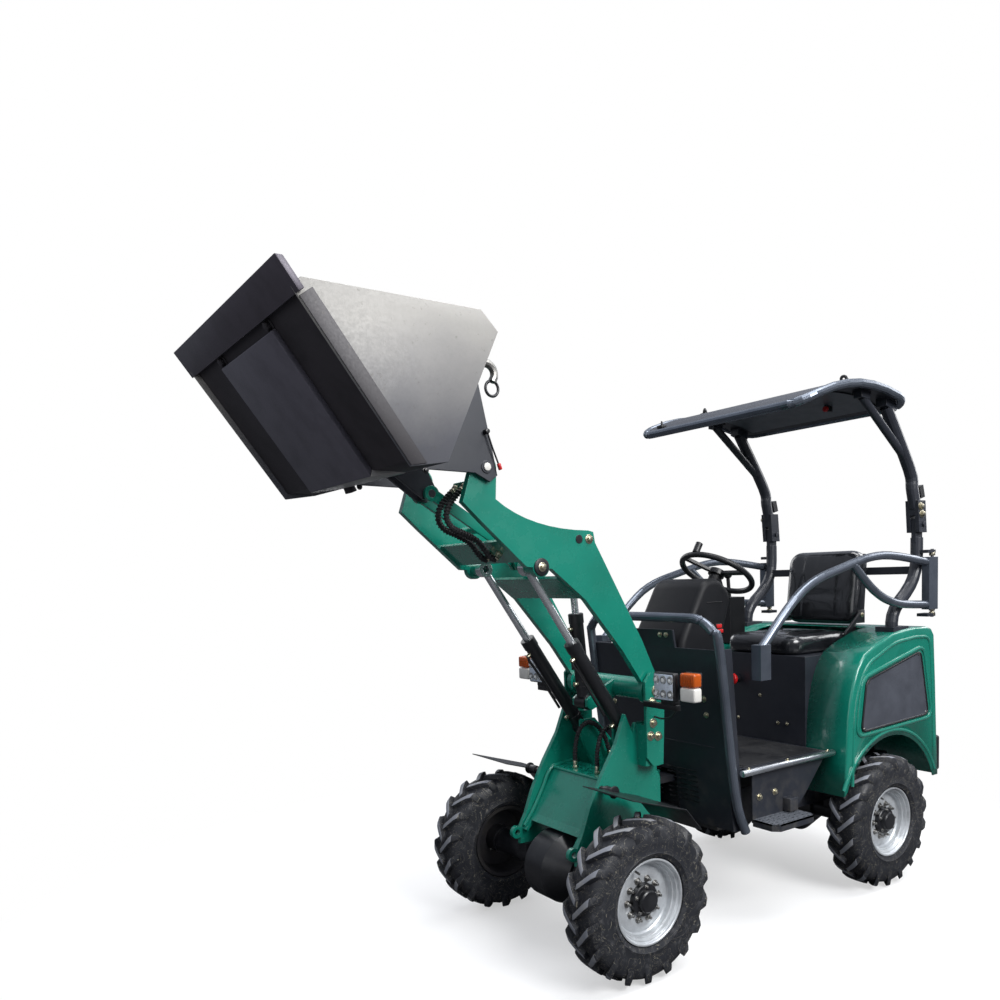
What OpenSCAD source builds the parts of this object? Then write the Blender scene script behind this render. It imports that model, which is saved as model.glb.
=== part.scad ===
// Compact articulated wheel loader with a canopy, boom raised and bucket curled back.
// X points forward, Y to the machine's left, Z up. Lengths are millimetres.
// Profiles are drawn from the nearest axle: [distance ahead of it, height above it].

/* [Wheels] */
// Distance between the axles
wheelbase = 1590; // [1560:5:1640]
// Distance between the tyre centres of one axle
track = 976; // [960:2:1000]
// Outer diameter of a tyre over its lugs
tyre_d = 640; // [620:5:660]
// Width of a tyre
tyre_w = 168; // [150:2:176]
// Diameter of the rim's bead seat
rim_d = 316; // [300:2:330]
// Thickness of the rim's wall
rim_wall = 7; // [5:1:9]
// Diameter of the wheel hub
hub_d = 128; // [110:2:140]
// Number of lugs on each half of a tyre
lug_count = 18; // [14:1:22]
// Height of a lug above the casing in the middle of the tread
lug_height = 21; // [14:1:26]

/* [Steering] */
// Distance of the steering pivot behind the front axle
pivot_back = 515; // [500:5:530]
// Diameter of the steering pin
steer_pin_d = 50; // [40:2:60]
// Thickness of one steering lug
steer_lug_t = 28; // [22:1:34]

/* [Tower] */
// Distance between the outer faces of the tower's side plates
tower_w = 424; // [416:2:432]
// Thickness of a tower side plate
tower_t = 20; // [16:1:22]
// Thickness of a bolted pivot plate
pivot_plate_t = 12; // [10:1:16]

/* [Boom] */
// Distance between the inner faces of the two boom arms
arm_gap = 448; // [444:2:456]
// Thickness of a boom arm
arm_t = 28; // [22:1:30]
// Diameter of the main boom pins
boom_pin_d = 44; // [36:2:50]
// Diameter of the tube that joins the arms at the pivot
boom_tube_d = 96; // [84:2:104]

/* [Lift cylinders] */
// Distance between the two lift cylinders
lift_spread = 310; // [306:2:314]
// Outer diameter of a lift barrel
lift_d = 60; // [52:2:64]
// Length of a lift barrel from its pin to the gland
lift_barrel_l = 510; // [480:5:540]
// Diameter of a lift rod
lift_rod_d = 32; // [26:2:36]
// Diameter of the cylinder pins
cyl_pin_d = 30; // [24:2:34]

/* [Tilt linkage] */
// Outer diameter of the tilt barrel
tilt_d = 60; // [50:2:64]
// Length of the tilt barrel from its pin to the gland
tilt_barrel_l = 390; // [370:5:400]
// Diameter of the tilt rod
tilt_rod_d = 30; // [24:2:34]
// Length of the rocker's and the coupler's tilt arms
tilt_arm = 130; // [120:2:136]
// Thickness of one rocker plate
rocker_t = 14; // [10:1:16]
// Thickness of one tilt link strap
link_t = 14; // [10:1:16]

/* [Bucket] */
// Outer width of the bucket
bucket_w = 1150; // [1140:10:1200]
// Length of the bucket floor from the heel to the cutting edge's tip
bucket_floor = 674; // [640:2:700]
// Thickness of the bucket's plates
bucket_t = 10; // [8:1:14]
// Angle of the bucket floor above the horizontal at rest
bucket_curl = 54; // [50:1:56]
// Thickness of the cutting edge, and depth of the floor behind the belly panel
edge_t = 20; // [16:1:24]
// Width of the belly panel under the floor
belly_w = 540; // [500:10:580]
// Overhang of the cutting edge past each side plate
edge_over = 22; // [16:1:28]

/* [Platform] */
// Width of the floor between its edge tubes
floor_w = 880; // [860:10:900]
// Thickness of the floor plate
floor_t = 10; // [6:1:14]
// Width of one step plate
step_w = 130; // [110:5:135]
// Diameter of the cowl hoop's tube
hoop_d = 42; // [36:2:48]
// Diameter of the steering wheel
steering_d = 380; // [360:5:400]

/* [Seat and hood] */
// Width of the seat cushion
seat_w = 460; // [420:10:480]
// Thickness of the seat cushion
seat_t = 100; // [80:5:110]
// Outer width of the rear hood
hood_w = 1040; // [1020:10:1060]
// Wall thickness of the rear hood
hood_t = 6; // [4:1:8]
// Radius of the rear wheel arch
arch_r = 400; // [390:2:410]

/* [Canopy] */
// Distance of a canopy post's centre from the hood's side
post_inset = 66; // [60:1:75]
// Outer width of a canopy post tube
post_d = 60; // [50:2:64]
// Width of the roof
roof_w = 1080; // [1040:10:1140]
// Length of the roof
roof_l = 820; // [780:10:860]
// Thickness of the roof panel
roof_t = 26; // [20:1:32]
// Diameter of the roof's rim tube
rim_tube_d = 40; // [36:2:46]

/* [Side gates] */
// Distance of a gate's centre from the hood's side
gate_inset = 10; // [5:1:12]
// Diameter of a gate tube
gate_d = 40; // [34:2:44]

/* [Hidden] */
$fn = 48;

green = "#1c8672";
charcoal = "#3a3f48";
black = "#17181b";
silver = "#b4b9bd";
steel = "#6d6a66";
amber = "#f08a1c";

// Clearances: turning on a pin, sliding in a gland, a gap that has to stay open, and a seat
pin_fit = 0.3;
slide_fit = 0.05;
gap = 6;
seat_gap = 0.3;

axle_z = tyre_d / 2;
front_x = wheelbase / 2;
rear_x = -wheelbase / 2;
pivot_x = front_x - pivot_back;

// Heights above the axle line shared by several pieces
floor_h = 370;
chassis_low = 70;
chassis_high = 240;
lug_low = 90;
lug_high = 300;
axle_d = 110;
axle_seat = 58;
housing_y = 165;

// Boom, lift and tilt points on the front frame
boom_pivot = [front_x - 320, 748];
boom_tip = [front_x + 485, 1642];
rocker_pin = [front_x + 49, 1377];
lift_pin = [front_x + 241, 1279];
lift_base = [front_x - 255, 550];
tilt_base = [front_x - 155, 690];
tilt_eye = [front_x - 95, 1337];
tilt_angle = bucket_curl - 90;
tilt_offset = tilt_arm * [cos(tilt_angle), sin(tilt_angle)];
rocker_out = rocker_pin + tilt_offset;
coupler_in = boom_tip + tilt_offset;

// Lanes across the machine, as distances from its middle plane
tower_out = tower_w / 2;
tower_in = tower_out - tower_t;
arm_in = arm_gap / 2;
arm_out = arm_in + arm_t;
pivot_plate_in = arm_out + 12;
pivot_plate_out = pivot_plate_in + pivot_plate_t;
lift_y = lift_spread / 2;
lift_eye_w = 44;
rod_eye_w = 36;
rocker_in = rod_eye_w / 2 + 4;
rocker_out_y = rocker_in + rocker_t;
link_in = rocker_out_y + 4;
link_out = link_in + link_t;
tilt_lug_in = tilt_d / 2 + gap;
tilt_lug_t = 14;
ear_in = arm_out + gap;
ear_t = 14;
rail_in = 230;
rail_out = 270;
cowl_y = 396;

// Bucket outline from the boom tip, drawn with its floor level
heel = [223, -397];
bucket_back = [heel + [246, 515], heel + [160, 529], heel + [-62, 118], heel];
bucket_tip = heel + [bucket_floor, 0];
bucket_cheek = heel + [bucket_floor - 80, 41];

// Rear hood, seat and canopy places, from the rear axle
hood_front = 305;
hood_rear = -495;
seat_bay_w = 580;
seat_bay_rear = -215;
arch_at = [-65, 10];
seat_h = 810;
post_y = hood_w / 2 - post_inset;
roof_front = 600;
roof_front_h = 1970;
roof_mid_h = 2180;
roof_rear_h = 2025;
roof_steps = 10;
gate_hinge = [rear_x - 440, hood_w / 2 - gate_inset];
gate_low = 1010;
gate_high = 1275;
fold_at = [rear_x - 395, gate_high + 165];
bumper_t = 50;
foot_h = 936;
roof_corner = 110;
hinge_d = 16;
fold_pin_d = 24;
spindle_d = 60;

// Hose routes: [x, y, h], from the boom tip on the boom and from the front axle in the tower
hose_d = 24;
hose_bar = boom_tip + [10, -45];
boom_route = [[18.3, 0, -55.3], [28, 0, -64], [62, 0, -94], [94, 0, -135], [102, 0, -178], [78, 0, -212], [30, 0, -232],
    [-30, 0, -262], [-66, 0, -304], [-94, 0, -328], [-110, 0, -320], [-124.4, 0, -303.6]];
tower_route = [[-155, 0, 385.3], [-155, 0, 420], [-158, 0, 480], [-180, 0, 545], [-225, 0, 580], [-285, 0, 560],
    [-330, 0, 500], [-350, 0, 445], [-366, 0, 430], [-381.4, 0, 430]];

// Overall length, which places the origin under the middle of the machine
bucket_reach = norm(bucket_tip) * cos(bucket_curl + atan2(bucket_tip[1], bucket_tip[0]));
front_end = boom_tip[0] + bucket_reach;
rear_end = rear_x + hood_rear - bumper_t;
middle_x = (front_end + rear_end) / 2;

// Rear face of the leaning front cowl at height h
function cowl_back(h) = pivot_x - 150 + 93 * (h - 100) / 805;
function from_front(points) = [for (p = points) [front_x + p[0], p[1]]];
function from_rear(points) = [for (p = points) [rear_x + p[0], p[1]]];
function bend(a, b, c, steps) = [for (i = [0 : steps]) let (t = i / steps)
    (1 - t) * (1 - t) * a + 2 * t * (1 - t) * b + t * t * c];

// Everything is drawn about the axle line and lifted onto its tyres
module placed() translate([-middle_x, 0, axle_z]) children();

module pair() {
    children();
    mirror([0, 1, 0]) children();
}

// A flat plate along the machine from y to y + t
module plate(points, y, t) translate([0, y + t, 0]) rotate([90, 0, 0]) linear_extrude(t) polygon(points);

// A round piece across the machine from y0 to y1
module across(p, y0, y1, d) translate([p[0], y0, p[1]]) rotate([-90, 0, 0]) cylinder(h = y1 - y0, d = d);

// A straight round bar between two points
module bar(a, b, d) {
    v = b - a;
    translate(a) rotate([0, acos(v[2] / norm(v)), atan2(v[1], v[0])]) cylinder(h = norm(v), d = d);
}

// A smooth curve through points, and the ring of a tube at one point of it
function curve(p, steps) = let (n = len(p)) concat([for (i = [0 : n - 2]) for (k = [0 : steps - 1])
    let (t = k / steps, a = p[max(i - 1, 0)], b = p[i], c = p[i + 1], d = p[min(i + 2, n - 1)])
    b + 0.5 * t * ((c - a) + t * ((2 * a - 5 * b + 4 * c - d) + t * (3 * (b - c) + d - a)))], [p[n - 1]]);
function ring(at, along, r, sides) = let (side = abs(along[1]) < 0.9 * norm(along) ? [0, 1, 0] : [1, 0, 0],
    u = cross(along, side) / norm(cross(along, side)), v = cross(along, u) / norm(along))
    [for (j = [0 : sides - 1]) at + r * (cos(360 * j / sides) * u + sin(360 * j / sides) * v)];

// A bent tube along a curve, closed on itself or with two flat ends
module tube(path, d, loop = false, sides = 16) {
    n = len(path);
    rings = [for (i = [0 : n - 1]) let (before = loop ? (i + n - 1) % n : max(i - 1, 0),
        after = loop ? (i + 1) % n : min(i + 1, n - 1)) ring(path[i], path[after] - path[before], d / 2, sides)];
    walls = [for (i = [0 : n - (loop ? 1 : 2)]) for (j = [0 : sides - 1]) let (k = (j + 1) % sides, m = (i + 1) % n)
        for (f = [[i * sides + j, m * sides + j, m * sides + k], [i * sides + j, m * sides + k, i * sides + k]]) f];
    ends = loop ? [] : [[for (j = [0 : sides - 1]) j], [for (j = [sides - 1 : -1 : 0]) (n - 1) * sides + j]];
    polyhedron([for (r = rings) for (q = r) q], concat(walls, ends));
}

module block(low, high) translate(low) cube(high - low);

// Tyre as one closed surface. Each half has six rings, from the middle of the tread over the shoulder to
// the bead, with two points for every lug, and three more rings on top of the lugs.
module tyre() {
    n = lug_count;
    pitch = 360 / n;
    skew = 16.6;
    r = tyre_d / 2;
    w = tyre_w / 2;
    bead = rim_d / 2 / cos(pitch / 4);
    // Radius and offset of each ring, and how far round the lug leans by then
    rings = [[r - lug_height, 0], [r - lug_height - 13, w - 14], [r - 70, w], [bead + 16, w - 8], [bead + 13, w - 23], [bead, w - 24]];
    tops = [r / cos(0.0875 * pitch), r - 2.5, r - 45.5];
    lean = [0, 0.82, 1, 1, 1, 1] * skew;
    function spot(half, j, k, share, radius) = let (a = pitch * (k + half / 2 + share) + lean[j])
        [radius * cos(a), (half == 0 ? 1 : -1) * rings[j][1], radius * sin(a)];
    points = concat([for (half = [0, 1], j = [0 : 5], k = [0 : n - 1], e = [-1, 1])
        spot(half, j, k, e * (j > 2 ? 0.25 : 0.125 + 0.055 * lean[j] / skew), rings[j][0])],
        [for (half = [0, 1], j = [0 : 2], k = [0 : n - 1], e = [-1, 1])
        spot(half, j, k, e * (0.0875 + 0.0375 * lean[j] / skew), tops[j])]);
    function low(half, j, k, e) = half * 12 * n + j * 2 * n + 2 * (k % n) + e;
    function top(half, j, k, e) = 24 * n + half * 6 * n + j * 2 * n + 2 * (k % n) + e;
    function quad(a, b, c, d) = [[a, b, c], [a, c, d]];
    function lug(h, k) = concat(
        [for (j = [0, 1]) each concat(quad(top(h, j, k, 0), top(h, j, k, 1), top(h, j + 1, k, 1), top(h, j + 1, k, 0)),
            quad(low(h, j, k, 0), top(h, j, k, 0), top(h, j + 1, k, 0), low(h, j + 1, k, 0)),
            quad(low(h, j, k, 1), low(h, j + 1, k, 1), top(h, j + 1, k, 1), top(h, j, k, 1)))],
        quad(low(h, 0, k, 0), low(h, 0, k, 1), top(h, 0, k, 1), top(h, 0, k, 0)),
        quad(low(h, 2, k, 0), top(h, 2, k, 0), top(h, 2, k, 1), low(h, 2, k, 1)));
    // Casing between two lugs, which meets the other half's lug along the middle
    function hollow(h, k) = let (a = low(h, 1, k, 1), b = low(h, 1, k + 1, 0), m = k + h,
        c = low(1 - h, 0, m, 0), d = low(1 - h, 0, m, 1))
        concat([[low(h, 0, k, 1), c, a], [c, d, a], [d, b, a], [d, low(h, 0, k + 1, 0), b]],
            quad(a, b, low(h, 2, k + 1, 0), low(h, 2, k, 1)));
    function wall(h, k) = [for (j = [2 : 4]) each concat(
        quad(low(h, j, k, 0), low(h, j, k, 1), low(h, j + 1, k, 1), low(h, j + 1, k, 0)),
        quad(low(h, j, k, 1), low(h, j, k + 1, 0), low(h, j + 1, k + 1, 0), low(h, j + 1, k, 1)))];
    half_faces = [for (h = [0, 1]) [for (k = [0 : n - 1]) each concat(lug(h, k), hollow(h, k), wall(h, k))]];
    bore = [for (k = [0 : n - 1]) each concat(
        quad(low(0, 5, k, 0), low(0, 5, k, 1), low(1, 5, k, 0), low(1, 5, k + n - 1, 1)),
        quad(low(0, 5, k, 1), low(0, 5, k + 1, 0), low(1, 5, k, 1), low(1, 5, k, 0)))];
    color(black) polyhedron(points, concat(half_faces[0], [for (f = half_faces[1]) [f[0], f[2], f[1]]], bore));
}

// Rim with a well, a dished disc and a hub that runs on the axle's spindle
module rim(side) {
    seat = rim_d / 2 - pin_fit;
    w = tyre_w / 2;
    disc = w - 60;
    color(silver) rotate([side * 90, 0, 0]) mirror([0, 0, 1]) difference() {
        union() {
            rotate_extrude($fn = 72) polygon([[seat, -w + 22], [seat, w - 22], [seat + 10, w - 18],
                [seat + 10, w - 12], [seat - rim_wall, w - 14], [seat - rim_wall - 14, w - 50],
                [seat - rim_wall - 14, -w + 50], [seat - rim_wall, -w + 14], [seat + 10, -w + 12],
                [seat + 10, -w + 18]]);
            translate([0, 0, disc - 10]) cylinder(h = 10, r = seat - rim_wall);
            translate([0, 0, -w + 30]) cylinder(h = w - 30 + disc + 40, d = hub_d);
        }
        translate([0, 0, -w]) cylinder(h = w + disc, d = spindle_d + 2 * pin_fit);
    }
}

module wheel_place(x, side) translate([x, side * track / 2, 0]) children();

// Axle tube with a gear housing and two spindles
module axle(x, pad_in, pad_out) {
    flange = track / 2 - tyre_w / 2 + 26;
    reach = track / 2 + tyre_w / 2 - 66;
    color(black) {
        across([x, 0], -flange, flange, axle_d);
        across([x, 0], -reach, reach, spindle_d);
        translate([x, 0, 0]) rotate([90, 0, 0]) rotate_extrude() polygon([[0, -150], [70, -150], [150, -60],
            [150, 60], [70, 150], [0, 150]]);
        pair() block([x - 60, pad_in, 20], [x + 60, pad_out, axle_seat]);
    }
}

module front_axle() placed() axle(front_x, tower_in - 20, tower_out + 20);

module rear_axle() placed() axle(rear_x, rail_in - 8, rail_out + 8);

// Tower side plates with tow eyes and the pads that the pivot plates bolt to
module tower_sides() placed() color(green) pair() {
    side = from_front([[75, axle_seat], [75, 130], [41, 189], [1, 290], [-67, 412], [-147, 531], [-201, 655],
        [-240, 570], [-259, 612], [-355, 612], [-355, 424], [-395, 358], [-395, axle_seat]]);
    difference() {
        union() {
            plate(side, tower_in, tower_t);
            across([front_x + 90, 112], tower_in, tower_out, 56);
        }
        across([front_x + 90, 112], tower_in - 1, tower_out + 1, 26);
    }
    plate(from_front([[-355, 430], [-265, 430], [-265, 606], [-355, 606]]), tower_out, pivot_plate_in - tower_out);
}

// Cross plates of the tower with the lift cylinder lugs and the steering lugs
module tower_cross() placed() color(green) {
    lug_y = lift_y - lift_d / 2 - gap - 13;
    pair() {
        difference() {
            plate(from_front([[-395, 330], [-300, 330], [-215, 520], [-215, 590], [-300, 590], [-395, 480]]), lug_y, 13);
            across(lift_base, 0, tower_in, cyl_pin_d);
        }
        across(lift_base, lug_y, tower_in, cyl_pin_d);
    }
    // Front cross plate with its bent top, and the rear cross plate
    difference() {
        plate(from_front([[-235, 392], [-112, 380], [8, 190], [62, 125], [50, 118], [-3, 178], [-118, 369],
            [-235, 380]]), -tower_in, 2 * tower_in);
        across([front_x, 0], -housing_y, housing_y, 2 * housing_y);
    }
    plate(from_front([[-395, axle_seat], [-383, axle_seat], [-383, 480], [-395, 480]]), -tower_in, 2 * tower_in);
    // Upper and lower steering lugs
    for (h = [lug_low, lug_high]) steer_lug(h, front_x - 390);
    translate([pivot_x, 0, lug_low - 10]) cylinder(h = lug_high - lug_low + steer_lug_t + 20, d = steer_pin_d);
}

module steer_lug(h, root) {
    translate([0, 0, h]) linear_extrude(steer_lug_t) union() {
        translate([pivot_x, 0]) circle(d = 120);
        translate([min(root, pivot_x), -60]) square([abs(root - pivot_x), 120]);
    }
}

// Bolted outer plates that carry the boom pivot
module pivot_plates() placed() color(green) pair() {
    plate(from_front([[-355, 430], [-300, 426], [-262, 470], [-258, 790], [-290, 828], [-352, 820], [-372, 780]]),
        pivot_plate_in, pivot_plate_t);
    across(boom_pivot, arm_in - 20, pivot_plate_in + 1, boom_pin_d);
}

// Work lamps and indicators on their brackets
module front_lamps() placed() pair() {
    color(black) {
        block([front_x - 268, pivot_plate_out, 690], [front_x - 244, 470, 714]);
        block([front_x - 275, 390, 714], [front_x - 235, 460, 732]);
        block([front_x - 250, 375, 732], [front_x - 208, 490, 846]);
        block([front_x - 262, 490, 770], [front_x - 242, 512, 800]);
    }
    color("white") for (i = [0 : 2], j = [0, 1])
        translate([front_x - 209, 375 + 115 * (i + 0.5) / 3, 732 + 114 * (j + 0.5) / 2]) rotate([0, 90, 0]) cylinder(h = 4, d = 32);
    color(amber) block([front_x - 262, 512, 795], [front_x - 218, 592, 850]);
    color("white") block([front_x - 262, 512, 738], [front_x - 218, 592, 795]);
}

// Bent fender plates on a bracket from the tower
module front_fenders() placed() color(black) pair() {
    plate(from_front([[85, 405], [-195, 318], [-275, 225], [-279, 228], [-198, 322], [84, 409]]),
        tower_out + 60, 290);
    across([front_x - 60, 362], tower_out, tower_out + 62, 24);
}

// Chassis rails, cross plates, a tray and the rear steering lugs
module rear_chassis() placed() color(charcoal) {
    neck = pivot_x - 170;
    pair() {
        block([rear_x - 430, rail_in, chassis_low], [neck, rail_out, chassis_high]);
        block([rear_x - 60, rail_in, axle_seat], [rear_x + 60, rail_out, chassis_low]);
    }
    block([neck - 20, -rail_in - 1, chassis_low], [neck, rail_in + 1, chassis_high]);
    block([neck - 20, -rail_in + 2, chassis_high - 1], [neck, rail_in - 2, chassis_high + 100]);
    for (x = [rear_x - 430, rear_x + 300])
        block([x, -rail_in - 1, chassis_low + 20], [x + 20, rail_in + 1, chassis_high - 10]);
    block([rear_x - 425, -rail_in - 1, chassis_high - 12], [rear_x + 190, rail_in + 1, chassis_high]);
    difference() {
        for (h = [lug_low + steer_lug_t + pin_fit, lug_high - steer_lug_t - pin_fit]) steer_lug(h, neck - 2);
        translate([pivot_x, 0, 0]) cylinder(h = lug_high, d = steer_pin_d + 2 * pin_fit);
    }
}

// Battery block that fills the space under the seat and the hood
module power_unit() placed() color(black) block([rear_x - 400, -215, chassis_high], [rear_x + 180, 215, 700]);

// Floor with its edge tubes, bearers and a tongue under the seat box
module platform() placed() {
    under = floor_h - floor_t;
    step = pivot_x - 205;
    color(charcoal) {
        block([rear_x + hood_front - 10, -floor_w / 2, under], [step, floor_w / 2, floor_h]);
        block([step - 1, -cowl_y + 8.3, under], [cowl_back(under) - seat_gap, cowl_y - 8.3, floor_h]);
        block([rear_x + 255, -seat_bay_w / 2 + 4, under], [rear_x + hood_front, seat_bay_w / 2 - 4, floor_h]);
        pair() block([rear_x + 305, rail_in + 2, chassis_high], [cowl_back(chassis_high) - seat_gap, rail_out - 2, under]);
    }
    color(silver) pair() bar([rear_x + 310, floor_w / 2 + 15, floor_h], [pivot_x - 130, floor_w / 2 + 15, floor_h], 30);
}

// Skirts below the floor and the step plates
module side_steps() placed() color(charcoal) pair() {
    y = floor_w / 2 - 20;
    front = pivot_x - 225;
    plate([[front, floor_h - floor_t], [front, 130], [rear_x + 560, 130], [rear_x + 480, 200],
        [rear_x + 330, floor_h - floor_t]], y, 8);
    x0 = rear_x + 570;
    y0 = y + 8;
    y1 = y0 + step_w;
    middle = y0 + step_w / 2;
    difference() {
        translate([0, 0, 116]) linear_extrude(30) polygon([[x0, y0], [front, y0], [front, y1 - 28], [front - 28, y1],
            [x0 + 28, y1], [x0, y1 - 28]]);
        for (k = [0 : 3], row = [-1, 1]) translate([x0 + (front - x0) * (k + 0.5) / 4, middle + row * step_w * 0.27, 130])
            cube([46, 12, 60], center = true);
    }
}

// Leaning front cowl with its tab, its side flanges and an opening for the chassis neck
module front_cowl() placed() color(charcoal) difference() {
    union() {
        plate([[pivot_x - 150, 100], [pivot_x - 138, 100], [pivot_x - 45, 905], [pivot_x - 30, 985],
            [pivot_x - 42, 985], [pivot_x - 57, 905]], -150, 300);
        plate([[pivot_x - 150, 100], [pivot_x - 138, 100], [pivot_x - 45, 905], [pivot_x - 57, 905]],
            -cowl_y, 2 * cowl_y);
        pair() plate([[pivot_x - 150, 100], [pivot_x - 57, 905], [pivot_x - 140, 905], [pivot_x - 200, 100]],
            cowl_y - 8, 8);
    }
    block([pivot_x - 220, -75, 90], [pivot_x, 75, lug_high + 25]);
}

// Tube hoop that frames the cowl
module cowl_hoop() placed() color(charcoal) {
    y = cowl_y + hoop_d / 2 + seat_gap;
    leg = [[pivot_x - 190, y, 96], [pivot_x - 122, y, 290], [pivot_x - 40, y, 905],
        [pivot_x - 22, y - 20, 985], [pivot_x - 12, 330, 1034], [pivot_x - 8, 220, 1042]];
    full = concat(leg, [for (i = [len(leg) - 1 : -1 : 0]) [leg[i][0], -leg[i][1], leg[i][2]]]);
    tube(curve(full, 4), hoop_d);
}

// Dash cover with the steering column under the wheel's hub
module dash() placed() color(black) {
    plate([[cowl_back(700) - seat_gap, 700], [cowl_back(905) - seat_gap, 905], [pivot_x - 230, 1200],
        [pivot_x - 330, 1210], [pivot_x - 420, 1130], [pivot_x - 340, 900], [pivot_x - 300, 700]], -165, 330);
    on_column() translate([0, 0, -140]) cylinder(h = 140 - 13 - seat_gap, d = 60);
}

module on_column() translate([pivot_x - 490, 0, 1228]) rotate([0, -32, 0]) children();

module steering_wheel() placed() color(black) on_column() {
    rotate_extrude() translate([steering_d / 2 - 14, 0]) circle(d = 28);
    cylinder(h = 26, d = 80, center = true);
    for (a = [90, 210, 330]) rotate([0, 0, a]) translate([30, -12, -7]) cube([steering_d / 2 - 40, 24, 14]);
    translate([steering_d / 2 - 14, 0, 12]) cylinder(h = 50, d = 34);
}

// Control box with its lever, standing on the hood beside the seat
module control_box() placed() color(black) {
    plate(from_rear([[140, 838.5], [20, 876.4], [20, 1090], [140, 1090]]), -hood_w / 2 + 100, 110);
    lever_y = -hood_w / 2 + 155;
    bar([rear_x + 80, lever_y, 1085], [rear_x + 92, lever_y, 1205], 20);
    translate([rear_x + 92, lever_y, 1215]) sphere(d = 46);
}

module seat_box() placed() color(charcoal) difference() {
    w = seat_bay_w / 2 - seat_gap;
    block([rear_x + seat_bay_rear + seat_gap, -w, floor_h], [rear_x + hood_front - 12, w, seat_h]);
    block([rear_x + seat_bay_rear - 1, -w + 10, floor_h - 1], [rear_x + hood_front - 24, w - 10, seat_h - 10]);
}

module seat_cushion() placed() color(black)
    block([rear_x - 200, -seat_w / 2 + 5, seat_h], [rear_x + 290, seat_w / 2 - 5, seat_h + seat_t]);

// Seat back on two brackets beside the cushion
module seat_back() placed() color(black) {
    plate(from_rear([[-206, 932], [-300, 932], [-345, 1300], [-300, 1325], [-262, 1310], [-212, 940]]),
        -seat_w / 2, seat_w);
    pair() plate(from_rear([[-190, 840], [-110, 840], [-110, 900], [-195, 965], [-245, 1010], [-280, 1010],
        [-280, 942], [-205, 942]]), seat_w / 2 - 5 + seat_gap, 12);
}

// Hollow rear hood with wheel arches and an open seat bay
module hood() placed() color(green) {
    outer = from_rear([[305, 150], [280, 520], [215, 770], [150, 835], [-81, 908], [-281, 928], [-425, 915],
        [-455, 880], [-480, 360], [-495, 150]]);
    inner = from_rear([[305 - hood_t, 140], [280 - hood_t, 520], [215 - hood_t, 768], [150, 835 - hood_t],
        [-81, 908 - hood_t], [-281, 928 - hood_t], [-425 + hood_t, 915 - hood_t], [-455 + hood_t, 880],
        [-480 + hood_t, 360], [-495 + hood_t, 140]]);
    difference() {
        plate(outer, -hood_w / 2, hood_w);
        plate(inner, -hood_w / 2 + hood_t, hood_w - 2 * hood_t);
        block([rear_x + seat_bay_rear, -seat_bay_w / 2, 100], [rear_x + 400, seat_bay_w / 2, 1000]);
        across([rear_x + arch_at[0], arch_at[1]], -hood_w, hood_w, 2 * arch_r);
        pair() plate(from_rear([[145, 700], [-315, 805], [-385, 480], [185, 460]]), hood_w / 2 - hood_t - 1,
            hood_t + 2);
    }
}

// Side grille panels in the hood's openings
module hood_grilles() placed() color(black) pair()
    plate(from_rear([[160, 712], [-325, 822], [-400, 468], [200, 446]]), hood_w / 2 - hood_t - 5, 5);

// Rear bumper pads on the hood's sloping rear face
module rear_bumper() placed() color(black) pair()
    plate(from_rear([[hood_rear - bumper_t, 160], [hood_rear - bumper_t, 345], [-481.4, 345], [-494.6, 160]]), hood_w / 2 - 220, 200);

// Feet of the posts on the hood's sloping top
module post_feet() placed() color(charcoal) pair()
    plate(from_rear([[-110, 911.2], [-240, 924.2], [-240, foot_h], [-110, foot_h]]), post_y - 50, 100);

// Lower posts with the gate hinge rods and the cross bar
module rear_posts() placed() color(charcoal) {
    rise = fold_at[1] - 65 - foot_h;
    bow = concat([[-172, foot_h], [-172, foot_h + 10]],
        bend([-172, foot_h + 20], [-172, foot_h + 0.19 * rise], [-290, foot_h + 0.36 * rise], 4),
        bend([-300, foot_h + 0.38 * rise], [-395, foot_h + 0.54 * rise], [-395, foot_h + 0.81 * rise], 5), [[-395, foot_h + rise]]);
    pair() {
        tube([for (q = from_rear(bow)) [q[0], post_y, q[1]]], post_d);
        bar([gate_hinge[0], gate_hinge[1], gate_low - 40], [gate_hinge[0], gate_hinge[1], gate_high + 40], hinge_d);
        for (h = [gate_low - 36, gate_high + 20])
            block([gate_hinge[0] - 12, post_y + 10, h], [rear_x - 380, gate_hinge[1] + 12, h + 16]);
        plate([fold_at + [-30, -90], fold_at + [30, -90], fold_at + [30, 30], fold_at + [-30, 30]], post_y - 12, 24);
        across(fold_at, post_y - 44, post_y + 44, fold_pin_d);
    }
    block([rear_x - 410, -post_y, 1190], [rear_x - 370, post_y, 1230]);
}

// Upper posts with braces and saddles under the roof, folding on the lower posts
module canopy_frame() placed() color(charcoal) pair() {
    foot = [fold_at[0] + 18, post_y, fold_at[1] + 85];
    elbow = [rear_x - 325, post_y, 1715];
    top = [rear_x - 120, post_y, roof_under(rear_x - 120) - 26];
    brace = [rear_x + 75, post_y, roof_under(rear_x + 75) - 26];
    tube(curve([foot, foot + (elbow - foot) / 2, elbow, top], 4), post_d);
    bar(elbow + [20, 0, 40], brace, 40);
    saddle(top[0], 40, 28);
    saddle(brace[0], 34, 22);
    difference() {
        for (y = [post_y - 34, post_y + 14]) plate([fold_at + [-34, -40], fold_at + [34, -40],
            fold_at + [48, 120], fold_at + [-20, 120]], y, 20);
        across(fold_at, post_y - 50, post_y + 50, fold_pin_d + 2 * pin_fit);
    }
    plate([fold_at + [-14, 45], fold_at + [40, 45], fold_at + [48, 120], fold_at + [-20, 120]], post_y - 15, 30);
}

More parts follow.
